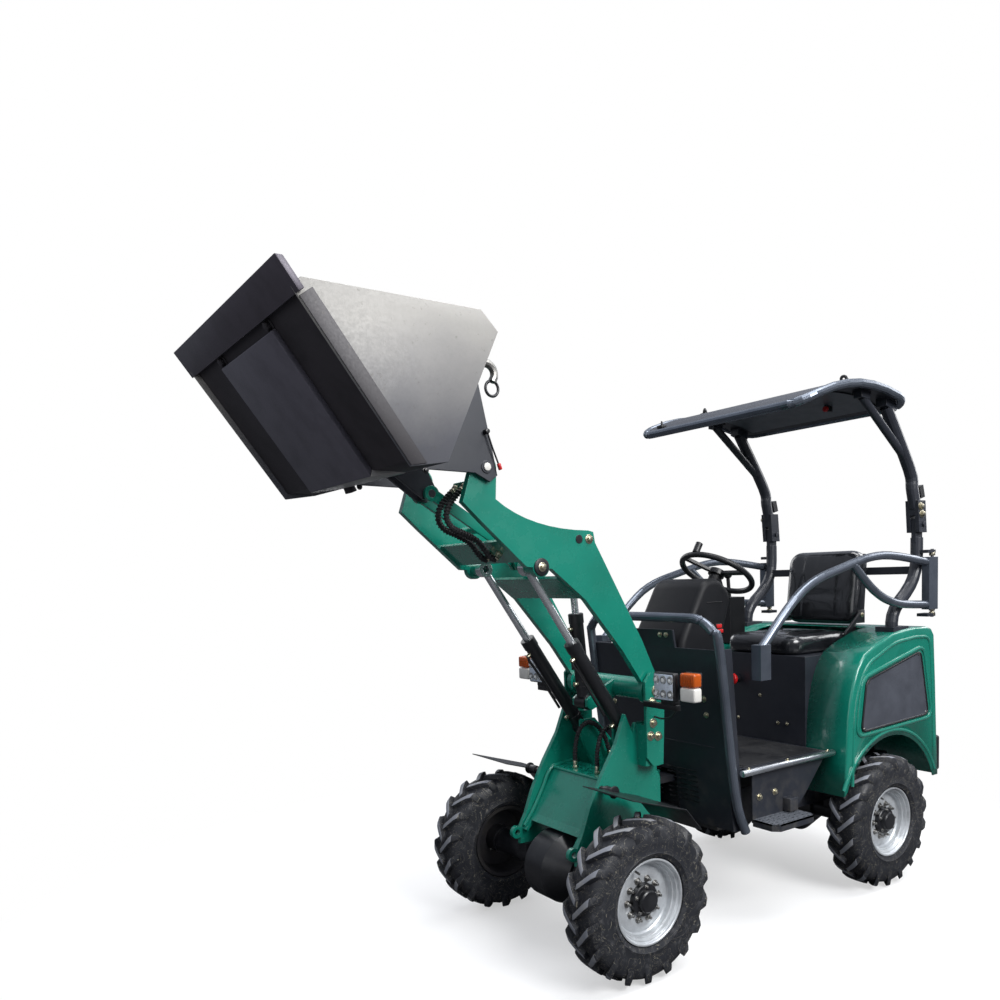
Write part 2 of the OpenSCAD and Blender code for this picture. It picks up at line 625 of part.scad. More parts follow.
// A pad under the roof at x
module saddle(x, half, w) plate([[x - half, roof_under(x - half) - seat_gap], [x + half, roof_under(x + half) - seat_gap],
    [x + half, roof_under(x + half) - 36], [x - half, roof_under(x - half) - 36]], post_y - w, 2 * w);

// Height of the roof's upper and lower face at x, along the straight facets of its camber
function roof_curve(t) = (1 - t) * (1 - t) * roof_front_h + 2 * t * (1 - t) * roof_mid_h + t * t * roof_rear_h;
function roof_top(x) = let (s = roof_steps * (rear_x + roof_front - x) / roof_l, i = floor(s))
    (1 - s + i) * roof_curve(i / roof_steps) + (s - i) * roof_curve((i + 1) / roof_steps);
function roof_under(x) = roof_top(x) - roof_t;

// Cambered roof panel with round corners
module canopy_roof() placed() color(charcoal) {
    inset = rim_tube_d / 2 + 1.3;
    x0 = rear_x + roof_front;
    xs = [for (i = [0 : roof_steps]) x0 - roof_l * i / roof_steps];
    half = roof_w / 2 - rim_tube_d / 2;
    r = roof_corner - inset;
    intersection() {
        plate(concat([for (x = xs) [x, roof_top(x)]], [for (i = [roof_steps : -1 : 0]) [xs[i], roof_under(xs[i])]]),
            -half, 2 * half);
        translate([x0 - roof_l, -half, roof_front_h - 400]) linear_extrude(800) {
            translate([inset, roof_corner]) square([roof_l - 2 * inset, 2 * half - 2 * roof_corner]);
            translate([roof_corner, inset]) square([roof_l - 2 * roof_corner, 2 * half - 2 * inset]);
            for (x = [roof_corner, roof_l - roof_corner], y = [roof_corner, 2 * half - roof_corner])
                translate([x, y]) circle(r = r);
        }
    }
}

// Tube rim around the roof panel
module canopy_rim() placed() color(charcoal) {
    x0 = rear_x + roof_front;
    half = roof_w / 2 - rim_tube_d / 2;
    corner = [for (q = [[1, 1, 0], [-1, 1, 90], [-1, -1, 180], [1, -1, 270]]) for (a = [0 : 15 : 90])
        [x0 - roof_l / 2 + q[0] * (roof_l / 2 - roof_corner) + roof_corner * cos(q[2] + a),
            q[1] * (half - roof_corner) + roof_corner * sin(q[2] + a)]];
    sides = concat([for (i = [0 : 6]) corner[i]], [for (i = [1 : 5]) corner[6] + (corner[7] - corner[6]) * i / 6],
        [for (i = [7 : 20]) corner[i]], [for (i = [1 : 5]) corner[20] + (corner[21] - corner[20]) * i / 6],
        [for (i = [21 : 27]) corner[i]]);
    tube([for (c = sides) [c[0], c[1], roof_top(c[0]) - roof_t / 2]], rim_tube_d, loop = true, sides = 12);
}

// Small lamps behind the upper posts
module canopy_lamps() placed() color(black) pair()
    plate(from_rear([[-396.5, 1570], [-380.1, 1630], [-415, 1640], [-432, 1580]]), post_y - 22, 44);

// Side gate with a curved top tube and a hinged end channel
module gate() color(charcoal) {
    y = gate_hinge[1];
    end_x = gate_hinge[0] + 60;
    difference() {
        block([gate_hinge[0] - 20, y - 20, gate_low], [end_x, y + 20, gate_high]);
        translate([gate_hinge[0], y, gate_low - 1]) cylinder(h = gate_high - gate_low + 2, d = hinge_d + 2 * pin_fit);
    }
    tube(curve([[end_x - 10, y, gate_high - 25], [rear_x - 5, y, 1288], [rear_x + 315, y, 1235],
        [rear_x + 605, y, 1140], [rear_x + 885, y, 905]], 6), gate_d);
    tube(curve([[end_x - 10, y, gate_low + 25], [rear_x - 120, y, 1055], [rear_x + 60, y, 1120],
        [rear_x + 235, y, 1250]], 6), gate_d);
    block([rear_x + 850, y - 25, 775], [rear_x + 915, y + 25, 925]);
}

module gate_left() placed() gate();

module gate_right() placed() mirror([0, 1, 0]) gate();

// Outline of a boom arm: lower edge, pivot end, elbow ear and tip
module arm_outline() {
    top = bend([front_x + 437, 1530], [front_x + 285, 1420], [front_x + 5, 1418], 8);
    polygon(concat(from_front([[501, 1448], [308, 1281], [190, 1271], [27, 1144], [-162, 926], [-263, 787],
        [-320, 748], [-365, 770], [-269, 964], [-28, 1370]]), [[front_x - 20, 1412]],
        [for (i = [len(top) - 1 : -1 : 0]) top[i]], from_front([[430, 1640], [540, 1630], [578, 1518]])));
    translate(boom_pivot) circle(d = 124);
    translate(boom_tip) circle(d = 110);
    translate(lift_pin) circle(d = 78);
}

// Two arms joined by a pivot tube, a cross plate and a front plate
module boom() placed() color(green) {
    tube_in = boom_pin_d / 2 + pin_fit;
    difference() {
        union() {
            pair() translate([0, arm_out, 0]) rotate([90, 0, 0]) linear_extrude(arm_t) arm_outline();
            across(boom_pivot, -arm_in - 1, arm_in + 1, boom_tube_d);
            plate(from_front([[150, 1233], [142, 1243], [27, 1160], [35, 1150]]), -arm_in - 1, 2 * arm_in + 2);
            plate(from_front([[315, 1300], [405, 1378], [398, 1386], [308, 1308]]), -arm_in - 1, 2 * arm_in + 2);
            across(rocker_pin, -arm_in - 1, arm_in + 1, boom_pin_d);
            across(hose_bar, 66, arm_in + 1, 20);
            pair() across(lift_pin, lift_y + rod_eye_w / 2 + pin_fit, arm_in + 1, 50);
        }
        pair() {
            across(boom_pivot, arm_in - 24, arm_out + 1, 2 * tube_in);
            across(boom_tip, arm_in - 1, arm_out + 1, boom_pin_d + 2 * pin_fit);
        }
    }
    pair() plate([boom_pivot + [20, 40], boom_pivot + [20, -40], tilt_base + [0, -30], tilt_base + [26, -15],
        tilt_base + [26, 15], tilt_base + [0, 30]], tilt_lug_in, tilt_lug_t);
    across(tilt_base, -tilt_lug_in - 1, tilt_lug_in + 1, cyl_pin_d);
}

// Hoses that loop from a bar at the boom tip to the front plate
module boom_hoses() placed() color(black) for (y = [88, 150])
    tube(curve([for (q = boom_route) [boom_tip[0] + q[0], y, boom_tip[1] + q[2]]], 3), hose_d, sides = 10);

// Hoses that loop inside the tower
module tower_hoses() placed() color(black) pair()
    tube(curve([for (q = tower_route) [front_x + q[0], 76, q[2]]], 3), hose_d - 4, sides = 10);

// A barrel from its pin towards an eye, with its bore open at the gland
module barrel(base, eye, y, d, l, eye_w, rod_d) {
    v = eye - base;
    u = v / norm(v);
    start = base + 26 * u;
    end = base + l * u;
    color(black) difference() {
        union() {
            bar([start[0], y, start[1]], [end[0], y, end[1]], d);
            across(base, y - eye_w / 2, y + eye_w / 2, 64);
        }
        across(base, y - eye_w, y + eye_w, cyl_pin_d + 2 * pin_fit);
        bar([base[0] + 40 * u[0], y, base[1] + 40 * u[1]], [end[0] + u[0], y, end[1] + u[1]], rod_d + 2 * slide_fit);
    }
}

// A rod from inside its barrel to its eye
module piston_rod(base, eye, y, d, inside, eye_w) {
    v = eye - base;
    u = v / norm(v);
    start = base + inside * u;
    end = eye - 20 * u;
    color(silver) difference() {
        union() {
            bar([start[0], y, start[1]], [end[0], y, end[1]], d);
            across(eye, y - eye_w / 2, y + eye_w / 2, 64);
        }
        across(eye, y - eye_w, y + eye_w, cyl_pin_d);
    }
}

module lift_barrel_l() placed() barrel(lift_base, lift_pin, lift_y, lift_d, lift_barrel_l, lift_eye_w, lift_rod_d);

module lift_barrel_r() placed() barrel(lift_base, lift_pin, -lift_y, lift_d, lift_barrel_l, lift_eye_w, lift_rod_d);

module lift_rod_l() placed() piston_rod(lift_base, lift_pin, lift_y, lift_rod_d, 370, rod_eye_w);

module lift_rod_r() placed() piston_rod(lift_base, lift_pin, -lift_y, lift_rod_d, 370, rod_eye_w);

module tilt_barrel() placed() barrel(tilt_base, tilt_eye, 0, tilt_d, tilt_barrel_l, 2 * tilt_lug_in - 4, tilt_rod_d);

module tilt_rod() placed() piston_rod(tilt_base, tilt_eye, 0, tilt_rod_d, 145, rod_eye_w);

// Two rocker plates on a hub, with pin stubs for the rod's eye and the link
module rocker() placed() color(green) {
    difference() {
        union() {
            pair() plate([rocker_pin + [-15, 44], rocker_pin + [40, 15], rocker_out + [28, 10], rocker_out + [10, -28],
                rocker_out + [-20, -26], tilt_eye + [30, -32], tilt_eye + [-15, -30], tilt_eye + [-32, 0],
                tilt_eye + [-15, 30]], rocker_in, rocker_t);
            across(rocker_pin, -rocker_out_y, rocker_out_y, 64);
        }
        across(rocker_pin, -rocker_out_y - 1, rocker_out_y + 1, boom_pin_d + 2 * pin_fit);
    }
    pair() {
        across(rocker_out, rocker_out_y - 1, link_out, cyl_pin_d);
        across(tilt_eye, rod_eye_w / 2 + pin_fit, rocker_in + 1, cyl_pin_d + 14);
    }
}

// Two straps with a cross bar, from the rocker to the coupler
module tilt_link() placed() color(green) {
    middle = (rocker_out + coupler_in) / 2;
    v = coupler_in - rocker_out;
    n = [-v[1], v[0]] / norm(v) * 22;
    difference() {
        pair() {
            plate([rocker_out - n, coupler_in - n, coupler_in + n, rocker_out + n], link_in, link_t);
            for (p = [rocker_out, coupler_in]) across(p, link_in, link_out, 60);
        }
        for (p = [rocker_out, coupler_in]) across(p, -link_out - 1, link_out + 1, cyl_pin_d + 2 * pin_fit);
    }
    across(middle, -link_in - 1, link_in + 1, 30);
}

// Bucket pieces are drawn with the floor level and turned back by the curl
module on_tip() placed() translate([boom_tip[0], 0, boom_tip[1]]) rotate([0, -bucket_curl, 0]) children();

module bucket() on_tip() color(steel) {
    w = bucket_w / 2;
    side = w - edge_over;
    lip = bucket_back[0];
    top = bucket_back[1];
    low = bucket_back[2];
    back_dir = (top - low) / norm(top - low);
    back_in = [back_dir[1], -back_dir[0]] * bucket_t;
    heel_in = heel + [12, edge_t];
    edge = bucket_tip - [110, 0];
    pair() {
        plate(concat([bucket_tip - [85, 0], bucket_cheek], bucket_back), side - bucket_t, bucket_t);
        plate([heel + [3, 2], bucket_tip - [118, -2], bucket_tip - [118, -52], heel + [-22, 52]], side - 2, 7);
    }
    plate([heel_in, edge + [50, edge_t - 1], edge + [50, edge_t + bucket_t], heel_in + [12, bucket_t],
        low + back_in + [12, 8], low + 0.4 * back_in], -side + 2, 2 * side - 4);
    plate([low, top, top + back_in, low + back_in], -side + 2, 2 * side - 4);
    plate([top, lip, lip - [0, bucket_t], top + back_in - 4 * back_dir, top - 4 * back_dir], -side + 2, 2 * side - 4);
    plate([edge, bucket_tip, bucket_tip + [-14, edge_t], edge + [0, edge_t]], -w, bucket_w);
    plate([heel, edge - [36, 0], edge + [-36, edge_t + 3], heel_in + [6, 3], low + 0.7 * back_in + 2 * back_dir, low + 2 * back_dir],
        -belly_w / 2, belly_w);
}

// Quick coupler with outer ears on the boom tip, a back plate and tilt lugs
module coupler() on_tip() color(charcoal) {
    low = bucket_back[2];
    top = bucket_back[1];
    d = (top - low) / norm(top - low);
    n = [-d[1], d[0]];
    face = low + n * 0.3;
    back = 16;
    ear = ear_in + ear_t;
    plate([face + 20 * d, face + 440 * d, face + 440 * d + back * n, face + 20 * d + back * n], -ear, 2 * ear);
    pair() {
        plate([face + 20 * d, face + 440 * d, face + 470 * d + 90 * n, [20, 52], [-50, 20], [-50, -20], [10, -52]],
            ear_in, ear_t);
        difference() {
            plate([face + 60 * d, face + 260 * d, [0, -tilt_arm + 34], [-34, -tilt_arm], [0, -tilt_arm - 34]],
                rocker_in, rocker_t);
            across([0, -tilt_arm], rocker_in - 1, rocker_out_y + 1, cyl_pin_d);
        }
    }
    pair() across([0, 0], arm_in - 10, ear + 4, boom_pin_d);
    across([0, -tilt_arm], -link_out, link_out, cyl_pin_d);
}

module tyre_fl() placed() wheel_place(front_x, 1) tyre();
module tyre_fr() placed() wheel_place(front_x, -1) tyre();
module tyre_rl() placed() wheel_place(rear_x, 1) tyre();
module tyre_rr() placed() wheel_place(rear_x, -1) tyre();
module rim_fl() placed() wheel_place(front_x, 1) rim(1);
module rim_fr() placed() wheel_place(front_x, -1) rim(-1);
module rim_rl() placed() wheel_place(rear_x, 1) rim(1);
module rim_rr() placed() wheel_place(rear_x, -1) rim(-1);

rear_chassis();
rear_axle();
power_unit();
platform();
side_steps();
front_cowl();
cowl_hoop();
dash();
steering_wheel();
control_box();
seat_box();
seat_cushion();
seat_back();
hood();
hood_grilles();
rear_bumper();
post_feet();
rear_posts();
canopy_frame();
canopy_roof();
canopy_rim();
canopy_lamps();
gate_left();
gate_right();
tower_sides();
tower_cross();
front_axle();
pivot_plates();
front_lamps();
front_fenders();
tyre_fl();
rim_fl();
tyre_fr();
rim_fr();
tyre_rl();
rim_rl();
tyre_rr();
rim_rr();
boom();
lift_barrel_l();
lift_rod_l();
lift_barrel_r();
lift_rod_r();
rocker();
tilt_link();
tilt_barrel();
tilt_rod();
bucket();
coupler();
boom_hoses();
tower_hoses();
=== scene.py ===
import bpy, bmesh
from math import atan2, cos, exp, hypot, radians, sin, tau
from mathutils import Matrix, Vector


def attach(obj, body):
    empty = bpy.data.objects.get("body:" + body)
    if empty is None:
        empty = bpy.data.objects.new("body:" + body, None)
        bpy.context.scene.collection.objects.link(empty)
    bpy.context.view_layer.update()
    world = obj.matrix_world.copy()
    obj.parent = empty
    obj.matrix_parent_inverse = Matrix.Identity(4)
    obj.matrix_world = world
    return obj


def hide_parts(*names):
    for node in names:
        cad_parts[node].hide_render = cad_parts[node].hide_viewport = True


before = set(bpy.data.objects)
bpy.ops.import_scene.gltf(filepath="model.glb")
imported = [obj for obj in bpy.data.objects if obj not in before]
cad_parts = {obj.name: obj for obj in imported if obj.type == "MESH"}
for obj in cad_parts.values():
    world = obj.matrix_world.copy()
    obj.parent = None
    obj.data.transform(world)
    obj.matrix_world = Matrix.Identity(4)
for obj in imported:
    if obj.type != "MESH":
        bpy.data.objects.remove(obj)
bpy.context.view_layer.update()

# Places of the machine in millimetres: x from the middle of the wheelbase, h above the axle line
middleX, axleH = 394.2116, 320
frontX, rearX, pivotX = 795, -795, 280
bothSides = (1, -1)


def mm(x, y, h):  # machine millimetres to metres in the frame
    return Vector(((x - middleX) / 1000, y / 1000, (h + axleH) / 1000))


def fromRear(points):  # outline points drawn from the rear axle
    return [(rearX + x, h) for x, h in points]


def hexColour(text):
    def linear(c):
        return c / 12.92 if c <= 0.04045 else ((c + 0.055) / 1.055) ** 2.4
    return tuple(linear(int(text[i:i + 2], 16) / 255) for i in (0, 2, 4)) + (1.0,)


# Fills a socket with a value, or links it to another socket
def fill(tree, socket, value):
    if isinstance(value, bpy.types.NodeSocket):
        tree.links.new(value, socket)
    else:
        socket.default_value = value


def fillNamed(tree, node, values):
    for name, value in values.items():
        fill(tree, node.inputs[name], value)


# Adds one node: in0, in1 and so on are its inputs, the rest are its properties
def addNode(tree, kind, **settings):
    node = tree.nodes.new("ShaderNode" + kind)
    inputs = {key: value for key, value in settings.items() if key.startswith("in")}
    for key, value in settings.items():
        if key not in inputs:
            setattr(node, key, value)
    for key, value in inputs.items():
        fill(tree, node.inputs[int(key[2:])], value)
    return node


def noise(tree, coords, scale, detail, rough=0.6, warp=0.0):
    return addNode(tree, "TexNoise", in0=coords, in2=scale, in3=detail, in4=rough, in8=warp).outputs[0]


def remap(tree, value, low, high, outLow, outHigh):
    return addNode(tree, "MapRange", in0=value, in1=low, in2=high, in3=outLow, in4=outHigh).outputs[0]


def combine(tree, operation, first, second=0.0):
    return addNode(tree, "Math", operation=operation, in0=first, in1=second).outputs[0]


def blend(tree, factor, first, second):  # each colour is hex text or a socket
    ends = [hexColour(c) if isinstance(c, str) else c for c in (first, second)]
    return addNode(tree, "Mix", data_type="RGBA", in0=factor, in6=ends[0], in7=ends[1]).outputs[2]


def stretched(tree, coords, factors):
    return addNode(tree, "Mapping", in0=coords, in3=factors).outputs[0]


def newMaterial(name):
    mat = bpy.data.materials.new(name)
    mat.use_nodes = True
    tree = mat.node_tree
    return mat, tree, tree.nodes["Principled BSDF"], addNode(tree, "TexCoord").outputs["Object"]


# Patches of a second colour over a first by noise of a given size, and the mask of the patches
def patchColour(tree, coords, base, second, size, low, high):
    ramp = addNode(tree, "ValToRGB", in0=noise(tree, coords, 1 / size, 6.0))
    ramp.color_ramp.elements[0].position = low
    ramp.color_ramp.elements[1].position = high
    return blend(tree, ramp.outputs[0], base, second), ramp.outputs[0]


# Fine relief, on edges that are rounded by a radius if one is given
def addBump(tree, shader, height, strength, distance, edge=0.0):
    bump = addNode(tree, "Bump", in0=strength, in1=distance)
    fillNamed(tree, bump, {"Height": height})
    if edge:
        fillNamed(tree, bump, {"Normal": addNode(tree, "Bevel", samples=6, in0=edge).outputs[0]})
    fillNamed(tree, shader, {"Normal": bump.outputs[0]})


# Sprayed paint on plate: slight orange peel, and dust low down
def paintMaterial(name, base, worn, rough, coat, dust="6F6A60", dustTop=0.75, grimeTop=0.55):
    mat, tree, shader, coords = newMaterial(name)
    tone = patchColour(tree, coords, base, worn, 0.22, 0.42, 0.78)[0]
    height = addNode(tree, "SeparateXYZ", in0=coords).outputs[2]
    grime = noise(tree, coords, 14.0, 8.0, 0.65)
    low = remap(tree, height, 0.25, dustTop, 1.0, 0.0)
    dusty = combine(tree, "MULTIPLY", low, remap(tree, grime, 0.47, 0.72, 0.0, grimeTop))
    fillNamed(tree, shader, {
        "Base Color": blend(tree, dusty, tone, dust),
        "Roughness": remap(tree, grime, 0.3, 0.75, rough - 0.05, rough + 0.16),
        "Coat Weight": coat, "Coat Roughness": 0.15})
    addBump(tree, shader, noise(tree, coords, 420.0, 2.0, 0.5), 0.06, 0.0006, 0.003)
    return mat


# Moulded ABS and polypropylene: fine matt grain
def plasticMaterial(name, base, rough, strength=0.25, shine=0.5):
    mat, tree, shader, coords = newMaterial(name)
    cloud = noise(tree, coords, 9.0, 6.0)
    shade = remap(tree, cloud, 0.3, 0.7, 0.82, 1.18)
    tint = addNode(tree, "VectorMath", operation="SCALE", in0=hexColour(base)[:3], in3=shade)
    fillNamed(tree, shader, {
        "Base Color": tint.outputs[0], "Specular IOR Level": shine,
        "Roughness": remap(tree, cloud, 0.3, 0.7, rough - 0.06, rough + 0.08)})
    addBump(tree, shader, noise(tree, coords, 900.0, 2.0, 0.5), strength, 0.0004, 0.003)
    return mat


# Bare or plated metal: fine scratches one way and cloudy stains
def metalMaterial(name, base, stain, rough, metallic=1.0, along=(1, 1, 8), grain=0.15):
    mat, tree, shader, coords = newMaterial(name)
    fine = noise(tree, stretched(tree, coords, along), 160.0, 4.0)
    fillNamed(tree, shader, {
        "Base Color": patchColour(tree, coords, base, stain, 0.12, 0.45, 0.75)[0], "Metallic": metallic,
        "Roughness": remap(tree, fine, 0.3, 0.7, max(rough - grain / 2, 0.03), rough + grain * 0.7)})
    addBump(tree, shader, fine, grain, 0.0004, 0.002)
    return mat


# Vulcanised rubber with patches of dried mud and thin straw-like scuffs
def rubberMaterial(name, base, mud, mudLow, mudHigh, patch=0.035, straw=0.0):
    mat, tree, shader, coords = newMaterial(name)
    tone = patchColour(tree, coords, base, mud, patch, mudLow, mudHigh)[0]
    muddy, mask = patchColour(tree, coords, base, tone, 0.16, 0.38, 0.62)
    strands = combine(tree, "SUBTRACT", noise(tree, coords, 13.0, 2.0, 0.45, 3.0), 0.5)
    scuffs = remap(tree, combine(tree, "ABSOLUTE", strands), 0.0, 0.007, straw, 0.0)
    fillNamed(tree, shader, {
        "Base Color": blend(tree, scuffs, muddy, "A09A88"),
        "Roughness": remap(tree, mask, 0.0, 1.0, 0.48, 0.88)})
    addBump(tree, shader, noise(tree, coords, 300.0, 5.0), 0.35, 0.0012)
    return mat


# Worn bucket plate with painted light: lighter high up and darker low down as if lit from above, with stain
# patches and dark specks
def wornAndLitPlateMaterial(name, paintedLitTone, paintedShadeTone, low, high, stain="8E8C89"):
    mat, tree, shader, coords = newMaterial(name)
    tone = patchColour(tree, coords, paintedLitTone, stain, 0.30, 0.48, 0.80)[0]
    lift = remap(tree, noise(tree, coords, 5.0, 6.0), 0.3, 0.7, -0.05, 0.05)
    height = combine(tree, "ADD", addNode(tree, "SeparateXYZ", in0=coords).outputs[2], lift)
    # Painted light: blends from the painted shade tone low down to the lit tone high up
    plate = blend(tree, remap(tree, height, low, high, 0.0, 1.0), paintedShadeTone, tone)
    specks = remap(tree, noise(tree, coords, 48.0, 6.0, 0.7), 0.62, 0.71, 0.0, 0.6)
    fine = noise(tree, coords, 120.0, 5.0)
    fillNamed(tree, shader, {
        "Base Color": blend(tree, specks, plate, "5A5650"), "Metallic": 0.2,
        "Roughness": remap(tree, fine, 0.3, 0.7, 0.48, 0.66)})
    addBump(tree, shader, fine, 0.12, 0.0006)
    return mat


# Upholstery vinyl: glossy, with long soft creases and a fine grain
def vinylMaterial(name, base):
    mat, tree, shader, coords = newMaterial(name)
    creases = noise(tree, stretched(tree, coords, (1, 1.7, 0.9)), 6.0, 3.0, 0.5, 1.0)
    grain = combine(tree, "MULTIPLY", noise(tree, coords, 700.0, 2.0, 0.5), 0.03)
    fillNamed(tree, shader, {
        "Base Color": patchColour(tree, coords, base, "24262A", 0.15, 0.45, 0.75)[0],
        "Roughness": remap(tree, creases, 0.3, 0.7, 0.14, 0.26),
        "Coat Weight": 0.8, "Coat Roughness": 0.1})
    addBump(tree, shader, combine(tree, "ADD", creases, grain), 0.32, 0.02)
    return mat


# Moulded lamp lens, tinted and part clear
def lensMaterial(name, base, clear, rough):
    mat, tree, shader, coords = newMaterial(name)
    addBump(tree, shader, noise(tree, coords, 160.0, 1.0, 0.5), 0.5, 0.0016)
    fillNamed(tree, shader, {
        "Base Color": hexColour(base), "Transmission Weight": clear, "Roughness": rough})
    return mat


evenly = (1, 1, 1)
mats = {
    "greenPaint": paintMaterial("green enamel", "0E7A67", "0B6F5D", 0.2, 0.7, dustTop=0.6, grimeTop=0.2),
    "charcoalPaint": paintMaterial("charcoal powder coat", "282B33", "20232A", 0.38, 0.1),
    "blackPaint": paintMaterial("black enamel", "131418", "0E0F12", 0.34, 0.15, "3A3A3E", grimeTop=0.4),
    "silverPaint": metalMaterial("silver wheel lacquer", "CDD1D4", "9A9C9F", 0.34, 0.45),
    # Painted shade: a dark tone for the inside of the wheels, which lies in shadow
    "innerRim": metalMaterial("inner rim in painted shade", "242327", "3A3733", 0.6, 0.2),
    "stepPaint": metalMaterial("scuffed step paint", "63676E", "4C5057", 0.45, 0.3),
    "graphitePaint": metalMaterial("graphite tube paint", "6A717C", "5A616C", 0.24, 0.65, evenly, 0.03),
    "blackPlastic": plasticMaterial("moulded black ABS", "121316", 0.42),
    "dashPlastic": plasticMaterial("dash cover plastic", "0E0F13", 0.5, shine=0.25),
    "redPlastic": plasticMaterial("red switch plastic", "B81A1C", 0.35, 0.1),
    "tyreRubber": rubberMaterial("tyre rubber", "191B21", "5C5C5E", 0.52, 0.88, 0.03, 0.65),
    "tyreWorn": rubberMaterial("worn tread rubber", "777A82", "8A8986", 0.4, 0.7, straw=0.3),
    "hoseRubber": rubberMaterial("hose rubber", "17181B", "2B2B2D", 0.5, 0.8),
    "chromeRod": metalMaterial("hard chrome", "DCDFE2", "C9CDD0", 0.2, 0.85, evenly),
    "zincPlate": metalMaterial("yellow zinc plate", "D0C9B0", "A8A08A", 0.28),
    "bareSteel": metalMaterial("ground steel", "9B9A97", "77746F", 0.38),
    "darkSteel": metalMaterial("mill scale steel", "3A3A3C", "2A2A2B", 0.48, 0.75),
    "alloyTube": metalMaterial("brushed aluminium", "DADDE0", "BFC3C7", 0.26),
    "grilleMesh": plasticMaterial("perforated grille plate", "44474F", 0.45),
    # The bucket's side plates and strips carry painted light: a lit tone high up and a painted shade tone low
    # down
    "bucketSide": wornAndLitPlateMaterial("worn bucket side", "94928E", "5A5B61", 1.98, 2.36),
    "bucketStrip": wornAndLitPlateMaterial("rusted wear strip", "4E4C4E", "39373A", 1.9, 2.4, "4A4645"),
    "bucketDark": metalMaterial("mud stained plate", "39363B", "2C2A2E", 0.58, 0.3),
    "edgeSteel": metalMaterial("cutting edge steel", "55515A", "48454C", 0.42, 0.35),
    "bellySteel": metalMaterial("scuffed belly plate", "64626C", "55535C", 0.46, 0.3),
    "heelSteel": metalMaterial("rubbed heel plate", "A9A8A6", "8C8A88", 0.42, 0.5),
    "roofGrey": paintMaterial("roof lining", "575C64", "4D525A", 0.34, 0.1),
    "whitePlastic": plasticMaterial("white plastic", "D9D7D1", 0.4, 0.1),
    "matRubber": rubberMaterial("floor mat rubber", "1B1C1F", "3F3C37", 0.55, 0.8),
    "vinyl": vinylMaterial("black seat vinyl", "17181B"),
    "lampMirror": metalMaterial("lamp reflector", "D3DCE8", "B4C0D0", 0.3, 0.15, evenly),
    "lampLens": lensMaterial("clear lamp lens", "F2F4F4", 0.85, 0.06),
    "lampChip": plasticMaterial("lamp phosphor", "F1F3F2", 0.4, 0.1),
    "amberLens": lensMaterial("amber lamp lens", "D2601C", 0.35, 0.12),
}
print("materials", len(mats))

nodeMats = {
    "greenPaint": "tower_sides tower_cross pivot_plates boom rocker tilt_link hood",
    "charcoalPaint": "rear_chassis side_steps front_cowl seat_box post_feet rear_posts "
        "canopy_frame canopy_roof coupler platform",
    "graphitePaint": "cowl_hoop canopy_rim gate_left gate_right",
    "blackPaint": "rear_axle front_axle lift_barrel_l lift_barrel_r tilt_barrel "
        "front_fenders hood_grilles power_unit",
    "blackPlastic": "dash steering_wheel control_box rear_bumper canopy_lamps "
        "front_lamps seat_cushion seat_back",
    "tyreRubber": "tyre_fl tyre_fr tyre_rl tyre_rr",
    "silverPaint": "rim_fl rim_fr rim_rl rim_rr",
    "chromeRod": "lift_rod_l lift_rod_r tilt_rod",
    "bareSteel": "bucket",
    "hoseRubber": "boom_hoses tower_hoses",
}
for matName, nodeNames in nodeMats.items():
    for nodeName in nodeNames.split():
        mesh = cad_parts[nodeName].data
        mesh.materials.clear()
        mesh.materials.append(mats[matName])


def addObject(name, data):
    made = bpy.data.objects.new(name, data)
    bpy.context.scene.collection.objects.link(made)
    return made


def meshFrom(name, bm):
    mesh = bpy.data.meshes.new(name)
    bm.to_mesh(mesh)
    bm.free()
    return mesh


# Camera at the photograph's place
shot = {"place": (2.5548, 2.860, 1.573), "yaw": 235.33, "pitch": -4.48, "roll": -1.88, "lens": 30.49,
        "sensor": 36.0, "shift": (-0.02, 0.141)}
yaw, pitch, roll = (radians(shot[k]) for k in ("yaw", "pitch", "roll"))
forward = Vector((cos(yaw) * cos(pitch), sin(yaw) * cos(pitch), sin(pitch)))
right = Vector((sin(yaw), -cos(yaw), 0))
up = right.cross(forward)
turnedRight = cos(roll) * right + sin(roll) * up
turnedUp = -sin(roll) * right + cos(roll) * up
camData = bpy.data.cameras.new("photoCamera")
camData.lens, camData.sensor_width = shot["lens"], shot["sensor"]
camData.shift_x, camData.shift_y = shot["shift"]
camera = addObject("photoCamera", camData)
axes = Matrix((turnedRight, turnedUp, -forward)).transposed()
camera.matrix_world = Matrix.Translation(shot["place"]) @ axes.to_4x4()
bpy.context.scene.camera = camera

# Round area lights: place, aim, size and power
lights = {
    "keyLight": ((-0.3, 5.6, 4.6), (0.1, 0, 1.0), 3.6, 430),
    "skyLight": ((-1.2, 0.8, 6.3), (-0.1, 0, 0.8), 4.6, 310),
    "fillLight": ((5.4, 1.6, 2.6), (0.3, 0, 1.2), 3.5, 40),
    "backLight": ((-5.0, 0.8, 3.6), (-0.4, 0, 1.2), 3.0, 90),
    "sideLight": ((-0.8, -5.6, 3.4), (0.0, 0, 1.0), 3.5, 80),
}
for name, (place, aim, size, power) in lights.items():
    data = bpy.data.lights.new(name, "AREA")
    data.shape, data.size, data.energy = "DISK", size, power
    lamp = addObject(name, data)
    lamp.location = place
    lamp.rotation_euler = (Vector(aim) - Vector(place)).to_track_quat("-Z", "Y").to_euler()

